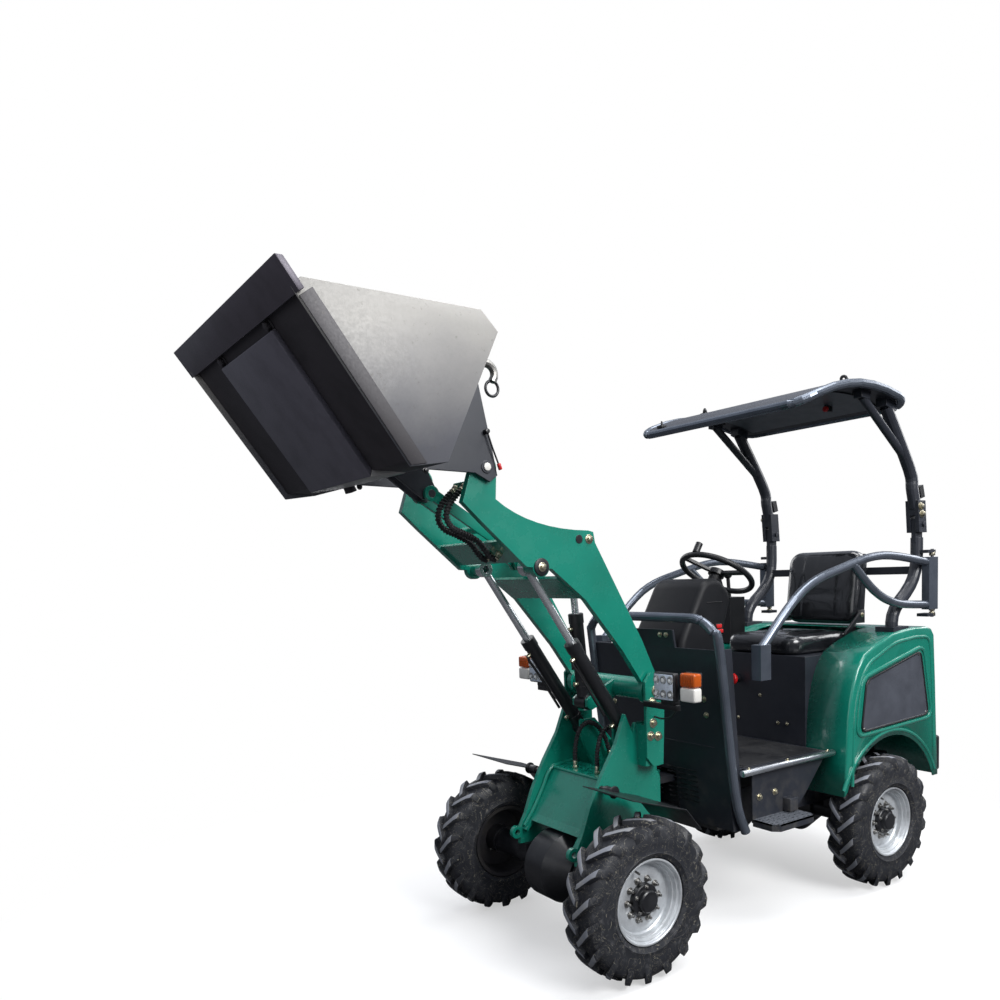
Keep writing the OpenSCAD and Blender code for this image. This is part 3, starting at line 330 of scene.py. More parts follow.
# A room that is white to the camera and through lenses, and dimmer and bluish in what it lights
world = bpy.data.worlds.new("studio")
bpy.context.scene.world = world
world.use_nodes = True
sky = world.node_tree
sky.nodes.clear()
rays = addNode(sky, "LightPath").outputs
seen = combine(sky, "MAXIMUM", rays["Is Camera Ray"], rays["Is Transmission Ray"])
heading = addNode(sky, "SeparateXYZ", in0=addNode(sky, "TexCoord").outputs["Generated"]).outputs[2]
overhead = remap(sky, heading, -0.1, 0.9, 0.22, 0.62)
level = addNode(sky, "Mix", in0=seen, in2=overhead, in3=1.0).outputs[0]
room = addNode(sky, "Background", in0=blend(sky, seen, "E9F0FF", "FFFFFF"), in1=level)
addNode(sky, "OutputWorld", in0=room.outputs[0])

# A floor that fades into the white room away from the machine
bm = bmesh.new()
bmesh.ops.create_grid(bm, x_segments=1, y_segments=1, size=40)
floor = addObject("floor", meshFrom("floor", bm))
floorMat, floorTree, floorShader, floorCoords = newMaterial("pale studio floor")
byCamera = addNode(floorTree, "LightPath").outputs["Is Camera Ray"]
reach = addNode(floorTree, "VectorMath", operation="LENGTH", in0=floorCoords).outputs["Value"]
fade = combine(floorTree, "MULTIPLY", byCamera, remap(floorTree, reach, 1.0, 3.0, 0.5, 1.0))
glow = addNode(floorTree, "Emission", in0=(1, 1, 1, 1), in1=1.0).outputs[0]
fillNamed(floorTree, floorShader, {
    "Base Color": blend(floorTree, byCamera, "4A4A4C", "FAFAFA"), "Roughness": 0.9})
floorMix = addNode(floorTree, "MixShader", in0=fade, in1=floorShader.outputs[0], in2=glow)
fillNamed(floorTree, floorTree.nodes["Material Output"], {"Surface": floorMix.outputs[0]})
floor.data.materials.append(floorMat)
print("stage and camera")


def finishPiece(name, bm, looks, body, slot, replaces=(), angle=35, merge=False):
    if merge:
        bmesh.ops.remove_doubles(bm, verts=bm.verts, dist=1e-5)
    bmesh.ops.recalc_face_normals(bm, faces=bm.faces)
    mesh = meshFrom(name, bm)
    for face in mesh.polygons:
        face.use_smooth = True
    mesh.set_sharp_from_angle(angle=radians(angle))
    for matName in looks.split():
        mesh.materials.append(mats[matName])
    piece = addObject(name, mesh)
    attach(piece, body)
    for node in replaces:
        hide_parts(node)
    return piece


# Makes a piece at once from the function under it, which fills an empty mesh
def piece(name, looks, *rest):
    def make(build):
        bm = bmesh.new()
        build(bm)
        return finishPiece(name, bm, looks, *rest)
    return make


def mark(faces, matIndex):
    for f in faces:
        f.material_index = matIndex


# Each element once, always in the same order
def unique(items):
    return list(dict.fromkeys(items))


def vertsOf(faces):
    return unique(v for f in faces for v in f.verts)


def edgesOf(faces):
    return unique(e for f in faces for e in f.edges)


def facesOf(verts):
    return unique(f for v in verts for f in v.link_faces)


def bevelEdges(bm, edges, offset, segments=2, clamp=False):
    bmesh.ops.bevel(bm, geom=edges, offset=offset, segments=segments, profile=0.5, affect="EDGES",
                    material=-1, clamp_overlap=clamp)


def cutPlane(bm, place, normal, geom=None):
    whole = bm.verts[:] + bm.edges[:] + bm.faces[:]
    bmesh.ops.bisect_plane(bm, geom=geom or whole, plane_co=place, plane_no=normal)


# Pushes faces out by a vector and returns the new corners
def pushOut(bm, faces, push):
    made = bmesh.ops.extrude_face_region(bm, geom=faces)["geom"]
    corners = [g for g in made if isinstance(g, bmesh.types.BMVert)]
    bmesh.ops.translate(bm, verts=corners, vec=push)
    return corners


# A ring turned about the machine's cross axis from points of (radius, offset)
def spinProfile(bm, points, steps=72, closed=True, flip=1, matIndex=0):
    verts = [bm.verts.new((r, y * flip, 0)) for r, y in points]
    ends = verts[1:] + verts[:1] if closed else verts[1:]
    edges = [bm.edges.new(pair) for pair in zip(verts, ends)]
    before = set(bm.faces)
    bmesh.ops.spin(bm, geom=verts + edges, cent=(0, 0, 0), axis=(0, 1, 0), angle=tau, steps=steps,
                   use_merge=True)
    made = [f for f in bm.faces if f not in before]
    mark(made, matIndex)
    return made


def addCylinder(bm, start, end, radius, segments=16, matIndex=0, radiusEnd=None, bevel=0.0):
    axis = end - start
    spot = Matrix.Translation((start + end) / 2) @ axis.to_track_quat("Z", "Y").to_matrix().to_4x4()
    tip = radius if radiusEnd is None else radiusEnd
    made = bmesh.ops.create_cone(bm, cap_ends=True, segments=segments, radius1=radius, radius2=tip,
                                 depth=axis.length, matrix=spot)["verts"]
    faces = facesOf(made)
    mark(faces, matIndex)
    if bevel:
        bevelEdges(bm, edgesOf(f for f in faces if len(f.verts) > 4), bevel)


def addBox(bm, low, high, matIndex=0, bevel=0.0, segments=2):
    made = bmesh.ops.create_cube(bm, size=1.0)["verts"]
    bmesh.ops.scale(bm, verts=made, vec=high - low)
    bmesh.ops.translate(bm, verts=made, vec=(low + high) / 2)
    faces = facesOf(made)
    mark(faces, matIndex)
    if bevel:
        bevelEdges(bm, edgesOf(faces), bevel, segments)


# A collar round a barrel
def addRing(bm, start, end, outer, inner):
    axis = end - start
    made = spinProfile(bm, [(inner, 0), (outer, 0), (outer, axis.length), (inner, axis.length)], steps=32)
    spot = Matrix.Translation(start) @ axis.to_track_quat("Y", "Z").to_matrix().to_4x4()
    bmesh.ops.transform(bm, verts=vertsOf(made), matrix=spot)


# A hexagon bolt head with a washer, standing on a face
def addBolt(bm, place, normal, size=0.016, matIndex=0):
    normal = Vector(normal).normalized()
    seat, top = place + normal * size * 0.14, place + normal * size * 0.72
    addCylinder(bm, place, seat, size * 0.95, 20, matIndex, bevel=size * 0.05)
    addCylinder(bm, seat, top, size * 0.58, 6, matIndex, bevel=size * 0.06)


def appendMesh(bm, mesh, matIndex):
    old = set(bm.faces)
    bm.from_mesh(mesh)
    mark([f for f in bm.faces if f not in old], matIndex)


# A round tube or hose along points, smoothed unless it is given straight
def addTube(bm, points, radius, closed=False, smooth=True, sides=12, matIndex=0):
    data = bpy.data.curves.new("tubePath", "CURVE")
    data.dimensions, data.bevel_depth, data.use_fill_caps = "3D", radius, True
    data.bevel_resolution, data.resolution_u = max(sides // 4 - 1, 0), 8
    line = data.splines.new("BEZIER" if smooth else "POLY")
    dots = line.bezier_points if smooth else line.points
    dots.add(len(points) - 1)
    for dot, p in zip(dots, points):
        if smooth:
            dot.co = p
            dot.handle_left_type = dot.handle_right_type = "AUTO"
        else:
            dot.co = (*p, 1)
    line.use_cyclic_u = closed
    guide = addObject("tubePath", data)
    bpy.context.view_layer.update()
    mesh = guide.evaluated_get(bpy.context.evaluated_depsgraph_get()).to_mesh()
    appendMesh(bm, mesh, matIndex)
    bpy.data.objects.remove(guide)
    bpy.data.curves.remove(data)


# A flat plate cut to an outline in the machine's long plane, from y0 to y1, with soft edges
def addPlate(bm, outline, y0, y1, bevel=0.0015, matIndex=0, segments=1):
    verts = [bm.verts.new(mm(x, y0, h)) for x, h in outline]
    verts += pushOut(bm, [bm.faces.new(verts)], (0, (y1 - y0) / 1000, 0))
    faces = facesOf(verts)
    mark(faces, matIndex)
    bmesh.ops.recalc_face_normals(bm, faces=faces)
    rims = [e for e in edgesOf(faces) if len(e.link_faces) == 2 and e.calc_face_angle(0) > 0.5]
    bevelEdges(bm, rims, bevel, segments)


# Rounds the corners of an outline with arcs
def roundOutline(points, radius, steps=5):
    out, n = [], len(points)
    for i, p in enumerate(points):
        p, a, b = Vector(p), Vector(points[i - 1]), Vector(points[(i + 1) % n])
        cut = min(radius, (a - p).length * 0.45, (b - p).length * 0.45)
        start, end = p + (a - p).normalized() * cut, p + (b - p).normalized() * cut
        for t in [k / steps for k in range(steps + 1)]:
            out.append(tuple((1 - t) ** 2 * start + 2 * t * (1 - t) * p + t ** 2 * end))
    return out


def lane(points, y):  # outline points at a distance from the middle plane
    return [mm(x, y, h) for x, h in points]


def span(side, a, b):  # two distances from the middle plane, in rising order on that side
    return min(side * a, side * b), max(side * a, side * b)


def sideBox(bm, side, low, high, matIndex=0, bevel=0.0, segments=2):
    y0, y1 = span(side, low[1], high[1])
    addBox(bm, mm(low[0], y0, low[2]), mm(high[0], y1, high[2]), matIndex, bevel, segments)


# Tyre with chevron bars
tyre = {"outer": 0.320, "half": 0.084, "bars": 18, "skew": 0.29, "barWidth": 0.033, "bead": 0.158,
        "crown": 0.299, "tread": 0.308, "track": 488}


def carcassRadius(y):  # radius of the casing under the bars at an offset
    side = abs(y) / tyre["half"]
    return tyre["crown"] - 0.006 * side ** 2 - 0.030 * max(side - 0.72, 0) ** 1.35 / 0.28 ** 1.35


# One bar from the middle of the tread to the shoulder, bent round the casing
def barMesh(wing):
    bar = bmesh.new()
    bmesh.ops.create_cube(bar, size=1.0)
    longEdges = [e for e in bar.edges if abs((e.verts[0].co - e.verts[1].co).y) > 0.5]
    bmesh.ops.subdivide_edges(bar, edges=longEdges, cuts=6)
    for v in bar.verts:
        s, across, level = v.co.y + 0.5, v.co.x, v.co.z + 0.5
        offset = -0.006 + 0.090 * s
        baseR = carcassRadius(offset) - 0.006 - 0.020 * max(s - 0.85, 0) / 0.15
        topR = tyre["outer"] - 0.0005 - 0.006 * max(s - 0.5, 0) - 0.042 * max(s - 0.84, 0) / 0.16
        radius = baseR + (topR - baseR) * level
        width = tyre["barWidth"] * (1.0 - 0.30 * level) * (1.0 + 0.45 * s)
        angle = tyre["skew"] * s ** 1.12 + across * width / 0.31
        if s > 0.84:
            offset -= 0.004 * (1 - level)
        y = wing * min(offset, tyre["half"] - 0.0005)
        v.co = (radius * cos(angle), y, radius * sin(angle))
    bmesh.ops.recalc_face_normals(bar, faces=bar.faces)

    def proud(v):
        return hypot(v.co.x, v.co.z) - carcassRadius(v.co.y) > 0.002
    rims = [e for e in bar.edges if e.calc_face_angle(0) > 0.6 and all(proud(v) for v in e.verts)]
    bevelEdges(bar, rims, 0.003)
    return meshFrom("bar", bar)


def tyreTemplate():
    bm = bmesh.new()
    half, bead = tyre["half"], tyre["bead"]
    for wing in bothSides:
        one = barMesh(wing)
        for k in range(tyre["bars"]):
            before = len(bm.verts)
            bm.from_mesh(one)
            bm.verts.ensure_lookup_table()
            turn = tau * (k + (0.5 if wing < 0 else 0.0)) / tyre["bars"]
            bmesh.ops.rotate(bm, verts=bm.verts[before:], cent=(0, 0, 0),
                             matrix=Matrix.Rotation(-turn, 3, "Y"))
    profile = [
        (bead, 0.024), (bead + 0.012, 0.0215), (bead + 0.015, 0.010), (0.186, 0.004), (0.190, 0.0005),
        (0.194, 0.003), (0.225, 0), (0.246, 0.002)]
    profile = [(r, inset - half) for r, inset in profile]
    profile += [(carcassRadius(y * half), y * half) for y in (-0.93, -0.86, -0.78, -0.6, -0.3, 0.0)]
    profile += [(r, -y) for r, y in reversed(profile[:-1])]
    spinProfile(bm, profile, steps=96)
    bmesh.ops.recalc_face_normals(bm, faces=bm.faces)
    for f in bm.faces:
        spot = f.calc_center_median()
        spot.y = 0
        onTop = spot.length > tyre["tread"] and f.normal.dot(spot.normalized()) > 0.6
        f.material_index = 1 if onTop else 0
    return meshFrom("tyreTemplate", bm)


tyreMesh = tyreTemplate()


def buildTyre(name, hub, body, node):
    bm = bmesh.new()
    bm.from_mesh(tyreMesh)
    bmesh.ops.translate(bm, verts=bm.verts, vec=hub)
    finishPiece(name, bm, "tyreRubber tyreWorn", body, "tyre_rubber", [node], angle=40)


# The rim's sheet by radius and inset from the tyre's outer face, its hub by radius and height over the disc
rimShape = {
    "sheet": [
        (0.1577, 0.022), (0.1667, 0.018), (0.1672, 0.013), (0.1610, 0.0120), (0.1575, 0.015), (0.1555, 0.023),
        (0.1540, 0.025), (0.1490, 0.026), (0.1472, 0.029), (0.1458, 0.038), (0.1442, 0.040), (0.1396, 0.041),
        (0.1378, 0.045), (0.1370, 0.060), (0.1300, 0.066), (0.1180, 0.062), (0.0960, 0.058), (0.0900, 0.060),
        (0.0640, 0.060), (0.0640, 0.070), (0.1300, 0.074), (0.1370, 0.090), (0.1370, 0.118), (0.1507, 0.152),
        (0.1667, 0.1555), (0.1667, 0.150), (0.1577, 0.146)],
    "hub": [
        (0.0, -0.001), (0.0308, -0.001), (0.0308, -0.078), (0.0635, -0.078), (0.0635, 0.018), (0.0600, 0.022),
        (0.0450, 0.024), (0.0430, 0.040), (0.0380, 0.044), (0.0, 0.045)],
    "face": 0.060, "back": 0.068, "nuts": (10, 0.0795), "screws": (5, 0.052), "valve": (70, 0.134)}


# Rim: flanges, a stepped well and a dished disc with its inner side darkened as painted shade, a dark hub
# with nuts and screws, and a valve
def buildRim(name, side, hub, body, node):
    bm = bmesh.new()
    half = tyre["half"]
    face = half - rimShape["face"]

    def around(angle, radius, y):
        return Vector((radius * cos(angle), side * y, radius * sin(angle)))
    # Faces on the wheel's inner side take the dark inner material: painted shade
    for f in spinProfile(bm, [(r, half - inset) for r, inset in rimShape["sheet"]], flip=side):
        f.material_index = 3 if side * f.calc_center_median().y < half - rimShape["back"] else 0
    spinProfile(bm, [(r, face + y) for r, y in rimShape["hub"]], 48, False, side, 1)
    count, radius = rimShape["nuts"]
    for k in range(count):
        spot = around(tau * k / count, radius, face + 0.001)
        addBolt(bm, spot, (0, side, 0), 0.0150, 2)
        addCylinder(bm, spot, spot + Vector((0, side * 0.021, 0)), 0.0055, 12, 2, bevel=0.001)
    count, radius = rimShape["screws"]
    for k in range(count):
        spot = around(tau * (k + 0.3) / count, radius, face + 0.022)
        addBolt(bm, spot, (0, side, 0), 0.010, 2)
    angle, radius = radians(rimShape["valve"][0]), rimShape["valve"][1]
    valve = around(angle, radius, half - 0.062)
    addCylinder(bm, valve, valve + around(angle, -0.012, 0.036), 0.0045, 10, 2)
    bmesh.ops.translate(bm, verts=bm.verts, vec=hub)
    looks = "silverPaint blackPaint bareSteel innerRim"
    finishPiece(name, bm, looks, body, "silver_paint", [node], merge=True)


wheelSpots = {"front_left_wheel": (frontX, 1, "fl"), "front_right_wheel": (frontX, -1, "fr"),
              "rear_left_wheel": (rearX, 1, "rl"), "rear_right_wheel": (rearX, -1, "rr")}
for body, (x, side, tag) in wheelSpots.items():
    hub = mm(x, side * tyre["track"], 0)
    buildTyre("tyre_" + tag + "_lugged", hub, body, "tyre_" + tag)
    buildRim("rim_" + tag + "_dished", side, hub, body, "rim_" + tag)
print("wheels")

# Rear hood: one pressed shell with round shoulders, an open seat bay and wheel arches
hoodShape = {
    "half": 520, "bay": 0.290, "bayRear": -215, "arch": (-65, 10, 400), "wall": 0.005, "shoulder": 0.042,
    "foot": 0.474, "contour": [
        (304, 164), (294, 320), (280, 520), (266, 600), (243, 685), (208, 760), (150, 826), (60, 864),
        (-81, 908), (-180, 921), (-281, 928), (-380, 925), (-425, 912), (-450, 880), (-466, 640),
        (-480, 360), (-495, 150), (-439, 150)]}


@piece("hood_shell", "greenPaint", "rear_frame", "green_paint", ["hood"], 50, True)
def hoodPiece(bm):
    cx, cz, r = hoodShape["arch"]
    half, bay, contour = hoodShape["half"], hoodShape["bay"], hoodShape["contour"]
    endA, startA = (atan2(h - cz, x - cx) for x, h in (contour[0], contour[-1]))
    angles = [startA + (endA - startA) * k / 24 for k in range(1, 24)]
    arch = [(cx + r * cos(a), cz + r * sin(a)) for a in angles]
    outline = bm.faces.new([bm.verts.new(mm(x, -half, h)) for x, h in fromRear(contour + arch)])
    pushOut(bm, [outline], (0, 2 * half / 1000, 0))
    bmesh.ops.recalc_face_normals(bm, faces=bm.faces)
    sides = [f for f in bm.faces if len(f.verts) > 8]
    archMid = mm(rearX + cx, 0, cz)
    below = []
    for f in bm.faces:
        spot = f.calc_center_median()
        inArch = hypot(spot.x - archMid.x, spot.z - archMid.z) < (r + 2) / 1000
        if len(f.verts) == 4 and (inArch or spot.z < hoodShape["foot"]):
            below.append(f)
    shoulders = [e for f in sides for e in f.edges if not any(g in below for g in e.link_faces)]
    bmesh.ops.delete(bm, geom=below, context="FACES_ONLY")
    bevelEdges(bm, shoulders, hoodShape["shoulder"], 6, True)
    bayX = mm(rearX + hoodShape["bayRear"], 0, 0).x
    for place, normal in (((0, bay, 0), (0, 1, 0)), ((0, -bay, 0), (0, 1, 0)), ((bayX, 0, 0), (1, 0, 0))):
        cutPlane(bm, place, normal)
    middles = [(f, f.calc_center_median()) for f in bm.faces]
    gone = [f for f, spot in middles if abs(spot.y) < bay and spot.x > bayX]
    bmesh.ops.delete(bm, geom=gone, context="FACES")
    bmesh.ops.delete(bm, geom=[v for v in bm.verts if not v.link_faces], context="VERTS")


wall = hoodPiece.modifiers.new("wall", "SOLIDIFY")
wall.thickness, wall.offset = hoodShape["wall"], -1

# Side grilles in a rim with screws, a pressed bead round each, and ribs along the arch and the hood's edge
grilleShape = {
    "panel": [(145, 700), (-315, 805), (-385, 480), (185, 460)], "face": 521, "bead": 517, "screw": 0.008,
    "rib": [
        (252, 210), (243, 420), (230, 560), (207, 655), (165, 733), (110, 783), (40, 812), (-81, 856),
        (-200, 872), (-320, 876), (-388, 862), (-408, 815), (-420, 700), (-436, 470), (-448, 300)]}


@piece("hood_grille_panels", "grilleMesh blackPlastic greenPaint bareSteel",
       "rear_frame", "black_paint", ["hood_grilles"])
def grillesPiece(bm):
    inner, face, bead = fromRear(grilleShape["panel"]), grilleShape["face"], grilleShape["bead"]
    middle = sum((Vector(p) for p in inner), Vector((0, 0))) / len(inner)
    cx, cz, r = hoodShape["arch"]
    arcs = [radians(a) for a in range(26, 157, 5)]
    lip = fromRear([(cx + (r + 26) * cos(a), cz + (r + 26) * sin(a)) for a in arcs])

    def scaled(factor):
        return [tuple(middle + (Vector(p) - middle) * factor) for p in inner]
    for s in bothSides:
        addPlate(bm, roundOutline(inner, 30), *span(s, face, face + 3), 0.001, 0)
        addTube(bm, lane(roundOutline(inner, 34), s * (face + 2)), 0.006, True, False, 8, 1)
        addTube(bm, lane(roundOutline(scaled(1.14), 60), s * bead), 0.0115, True, False, 12, 2)
        for x, h in scaled(0.93):
            ends = [mm(x, s * (face + out), h) for out in (3, 6.5)]
            addCylinder(bm, *ends, grilleShape["screw"], 14, 3, bevel=0.001)
        addTube(bm, lane(lip, s * bead), 0.0105, smooth=False, matIndex=2)
        addTube(bm, lane(fromRear(grilleShape["rib"]), s * bead), 0.0095, matIndex=2)


print("hood and grilles")

# Bucket points are drawn from the boom tip with the floor level, and turned back by the curl
boomTip, curl = (1280, 1642), radians(54)


def tipped(points):
    c, s = cos(curl), sin(curl)
    return [(boomTip[0] + x * c - z * s, boomTip[1] + x * s + z * c) for x, z in points]


# Bucket: side plates with a strip along the floor, then the plates across it with their reach, edge
# radius, material and edge steps: floor, back, top, cutting edge, belly panel, heel panel and a lug
bucketShape = {
    "half": 553, "wall": 10,
    "side": [(812, -397), (817, -356), (469, 118), (383, 132), (161, -279), (223, -397)],
    "strip": [(226, -395), (779, -395), (779, -345), (201, -345)], "stripWall": 5, "bolt": (768, 248, -377),
    "across": [
        ([(235, -377), (837, -377), (837, -367), (247, -367), (182, -276), (165, -281)],
         (-543, 543), 0.001, 2, 1),
        ([(161, -279), (383, 132), (391.8, 127.3), (169.8, -283.7)], (-543, 543), 0.001, 0, 1),
        ([(383, 132), (469, 118), (469, 108), (391.8, 127.3)], (-543, 543), 0.001, 0, 1),
        ([(787, -397), (897, -397), (883, -377), (787, -377)], (-575, 575), 0.002, 3, 2),
        ([(223, -397), (751, -397), (751, -376), (241, -376)], (-270, 270), 0.005, 4, 2),
        ([(223, -397), (241, -376), (170, -281), (161, -279)], (-270, 270), 0.004, 5, 2),
        ([(168, -284), (164, -262), (136, -266), (142, -292)], (-250, -190), 0.003, 2, 2)]}


@piece("bucket_plates", "bucketSide bucketStrip bucketDark edgeSteel bellySteel heelSteel",
       "bucket_tool", "worn_steel", ["bucket"])
def bucketPiece(bm):
    half, wall, side, strip, stripWall, (x, y, z), across = bucketShape.values()
    down = (sin(curl), 0, -cos(curl))
    for s in bothSides:
        addPlate(bm, tipped(side), *span(s, half - wall, half), 0.0025, 0, 2)
        addPlate(bm, tipped(strip), *span(s, half, half + stripWall), 0.002, 1, 2)
        addBolt(bm, lane(tipped([(x, z)]), s * y)[0], down, 0.026, 2)
    for outline, reach, edge, matIndex, segments in across:
        addPlate(bm, tipped(outline), *reach, edge, matIndex, segments)


# Fittings on the quick coupler: pin ends, a lock hook with a ring, and the lock's pull rod
couplerShape = {
    "pin": (275, 281), "bolts": [(128, -214), (193, -98), (278, 52)], "boltSide": 272, "hookSide": 265,
    "hook": [(296, 160), (300, 196), (290, 226), (264, 242), (236, 234), (222, 212)],
    "ring": (204, 196, 27), "rod": (101, 72), "rodSide": 286}


@piece("coupler_fittings", "whitePlastic bareSteel blackPaint redPlastic", "bucket_tool", "charcoal_paint")
def couplerPartsPiece(bm):
    pin, bolts, boltSide, hookSide, hook, (rx, rz, radius), rod, y = couplerShape.values()
    for s in bothSides:
        ends = [mm(boomTip[0], s * reach, boomTip[1]) for reach in pin]
        addCylinder(bm, *ends, 0.0145, 24, 0, bevel=0.0015)
        for spot in lane(tipped(bolts), s * boltSide):
            addBolt(bm, spot, (0, s, 0), 0.013, 2)
    addTube(bm, lane(tipped(hook), hookSide), 0.015, sides=16, matIndex=1)
    cx, ch = tipped([(rx, rz)])[0]
    angles = [tau * k / 24 for k in range(24)]
    ring = [(cx + radius * cos(a), ch + radius * sin(a)) for a in angles]
    addTube(bm, lane(ring, hookSide), 0.0055, closed=True, matIndex=2)
    x, h = tipped([rod])[0]
    addCylinder(bm, mm(x, y - 24, h), mm(x, y + 6, h), 0.009, 16, 2, bevel=0.001)
    addTube(bm, lane([(x, h), (x - 20, h - 56), (x - 44, h - 114)], y), 0.0034, sides=8, matIndex=2)
    addCylinder(bm, mm(x - 44, y, h - 112), mm(x - 52, y, h - 134), 0.0075, 14, 3, bevel=0.002)


print("bucket")


# Points along a smooth curve through the given ones
def smoothPath(points, steps):
    out, n = [], len(points)
    for i in range(n - 1):
        a, b, c, d = (points[max(min(j, n - 1), 0)] for j in (i - 1, i, i + 1, i + 2))
        for t in [k / steps for k in range(steps)]:
            bend = (2 * a - 5 * b + 4 * c - d) + t * (3 * (b - c) + d - a)
            out.append(b + 0.5 * t * ((c - a) + t * bend))
    return out + [points[-1]]


# A spiral guard wound round a hose
def addWrap(bm, path, radius, wire, pitch):
    line, turn = [], 0.0
    side = (path[1] - path[0]).normalized().orthogonal()
    for a, b in zip(path, path[1:]):
        along = (b - a).normalized()
        side = (side - along * side.dot(along)).normalized()
        turns = (b - a).length / pitch
        count = max(round(turns * 9), 1)
        for t in [k / count for k in range(count)]:
            angle = tau * (turn + turns * t)
            out = cos(angle) * side + sin(angle) * along.cross(side)
            line.append(a.lerp(b, t) + radius * out)
        turn += turns
    addTube(bm, line, wire, smooth=False, sides=8)


# Hydraulic hoses in spiral guards: loops at the boom tip and inside the tower, with crimped ends
hoseGuard = {"gap": 0.0012, "wire": 0.0026, "pitch": 0.0125}
hoseRoutes = {
    "boom_hoses": {
        "body": "loader_arm", "from": boomTip, "lanes": (88, 150), "size": 0.0098,
        "points": [
            (18, -55), (28, -64), (62, -94), (94, -135), (102, -178), (78, -212), (30, -232), (-30, -262),
            (-66, -304), (-94, -328), (-110, -320), (-124.7, -303.2)]},
    "tower_hoses": {
        "body": "front_frame", "from": (frontX, 0), "lanes": (76, -76), "size": 0.0082,
        "points": [
            (-155, 384.5), (-155, 420), (-158, 480), (-180, 545), (-225, 580), (-285, 560), (-330, 500),
            (-350, 445), (-366, 430), (-382.7, 430)]},
}
for node, route in hoseRoutes.items():
    bm = bmesh.new()
    size, (x0, h0) = route["size"], route["from"]
    for y in route["lanes"]:
        path = smoothPath(lane([(x0 + x, h0 + h) for x, h in route["points"]], y), 6)
        addTube(bm, path, size, smooth=False)
        addWrap(bm, path[6:-6], size + hoseGuard["gap"], hoseGuard["wire"], hoseGuard["pitch"])
        for a, b in ((path[0], path[5]), (path[-1], path[-6])):
            inward = (b - a).normalized()
            addCylinder(bm, a, a + inward * 0.034, size * 1.22, 18, 1, bevel=0.001)
            addCylinder(bm, a, a + inward * 0.011, size * 1.5, 6, 1, bevel=0.001)
    finishPiece(node + "_wrapped", bm, "hoseRubber zincPlate", route["body"], "hose_rubber", [node])
print("hoses")

# Work lamps: a finned housing with six lenses, and an amber and white indicator beside it
lampShape = {
    "low": (545, 375, 732), "high": (587, 490, 846), "lens": 0.0172, "fins": 7, "flutes": 5,
    "cable": [(540, 440, 740), (515, 432, 700), (505, 400, 660), (500, 340, 640), (490, 280, 640)]}


@piece("front_lamp_units", "blackPlastic lampMirror lampLens lampChip amberLens whitePlastic zincPlate",
       "front_frame", "black_plastic", ["front_lamps"])
def frontLampsPiece(bm):
    (x0, y0, h0), (x1, y1, h1), lens, fins, flutes, cable = lampShape.values()
    rise, chip = Vector((0.004, 0, 0)), Vector((0.005, 0, 0))
    boxes = [
        ((527, 276, 690), (551, 470, 714), 0, 0.003), ((520, 390, 714), (560, 460, 732), 0, 0.003),
        ((x0 + 8, y0, h0), (x1 - 2, y1, h1), 0, 0.008, 3),
        ((x1 - 4, y0 + 6, h0 + 6), (x1 - 1, y1 - 6, h1 - 6), 1, 0.002),
        ((533, 490, 770), (553, 512, 800), 0, 0.002), ((533, 512, 796), (577, 592, 850), 4, 0.009, 4),
        ((533, 512, 738), (577, 592, 794), 5, 0.009, 4), ((531, 510, 736), (539, 591, 852), 0, 0.003)]
    for y in [y0 + 10 + k * 14 for k in range(fins)]:
        boxes.append(((x0, y, h0 + 10), (x0 + 14, y + 5, h1 - 10), 0, 0.001))
    for y in [522 + k * 13 for k in range(flutes)]:
        boxes.append(((574, y, 804), (578, y + 6, 842), 4, 0.001))
    lenses = [(y0 + (y1 - y0) * (i + 0.5) / 3, h0 + (h1 - h0) * (j + 0.5) / 2)
              for i in range(3) for j in range(2)]
    for s in bothSides:
        for box in boxes:
            sideBox(bm, s, *box)
        for y, h in lenses:
            spot = mm(x1 - 1, s * y, h)
            addCylinder(bm, spot, spot + rise, lens, 24, 2, lens * 0.82)
            addCylinder(bm, spot + rise, spot + chip, lens * 0.45, 16, 3)
        addBolt(bm, mm(540, s * 425, 732), (0, 0, 1), 0.012, 6)
        addTube(bm, [mm(x, s * y, h) for x, y, h in cable], 0.004, sides=10)


print("lamps")

# Seat cushions in glossy vinyl: crowned blocks with sewn channels, turned so that the crown faces the driver
seatShape = {
    "seat_cushion": {"size": (0.488, 0.448, 0.088), "place": (-750, 0, 855), "lean": None, "crown": 0.016,
                     "seams": (-0.135, 0.135)},
    "seat_back": {"size": (0.390, 0.456, 0.080), "place": (-1072, 0, 1128), "lean": 7.4, "crown": 0.020,
                  "seams": (-0.130, 0.130)},
}
seatGrid = 22


def dip(distance, width):  # a soft groove's depth from 1 in its middle to 0
    return exp(-(distance / width) ** 2)


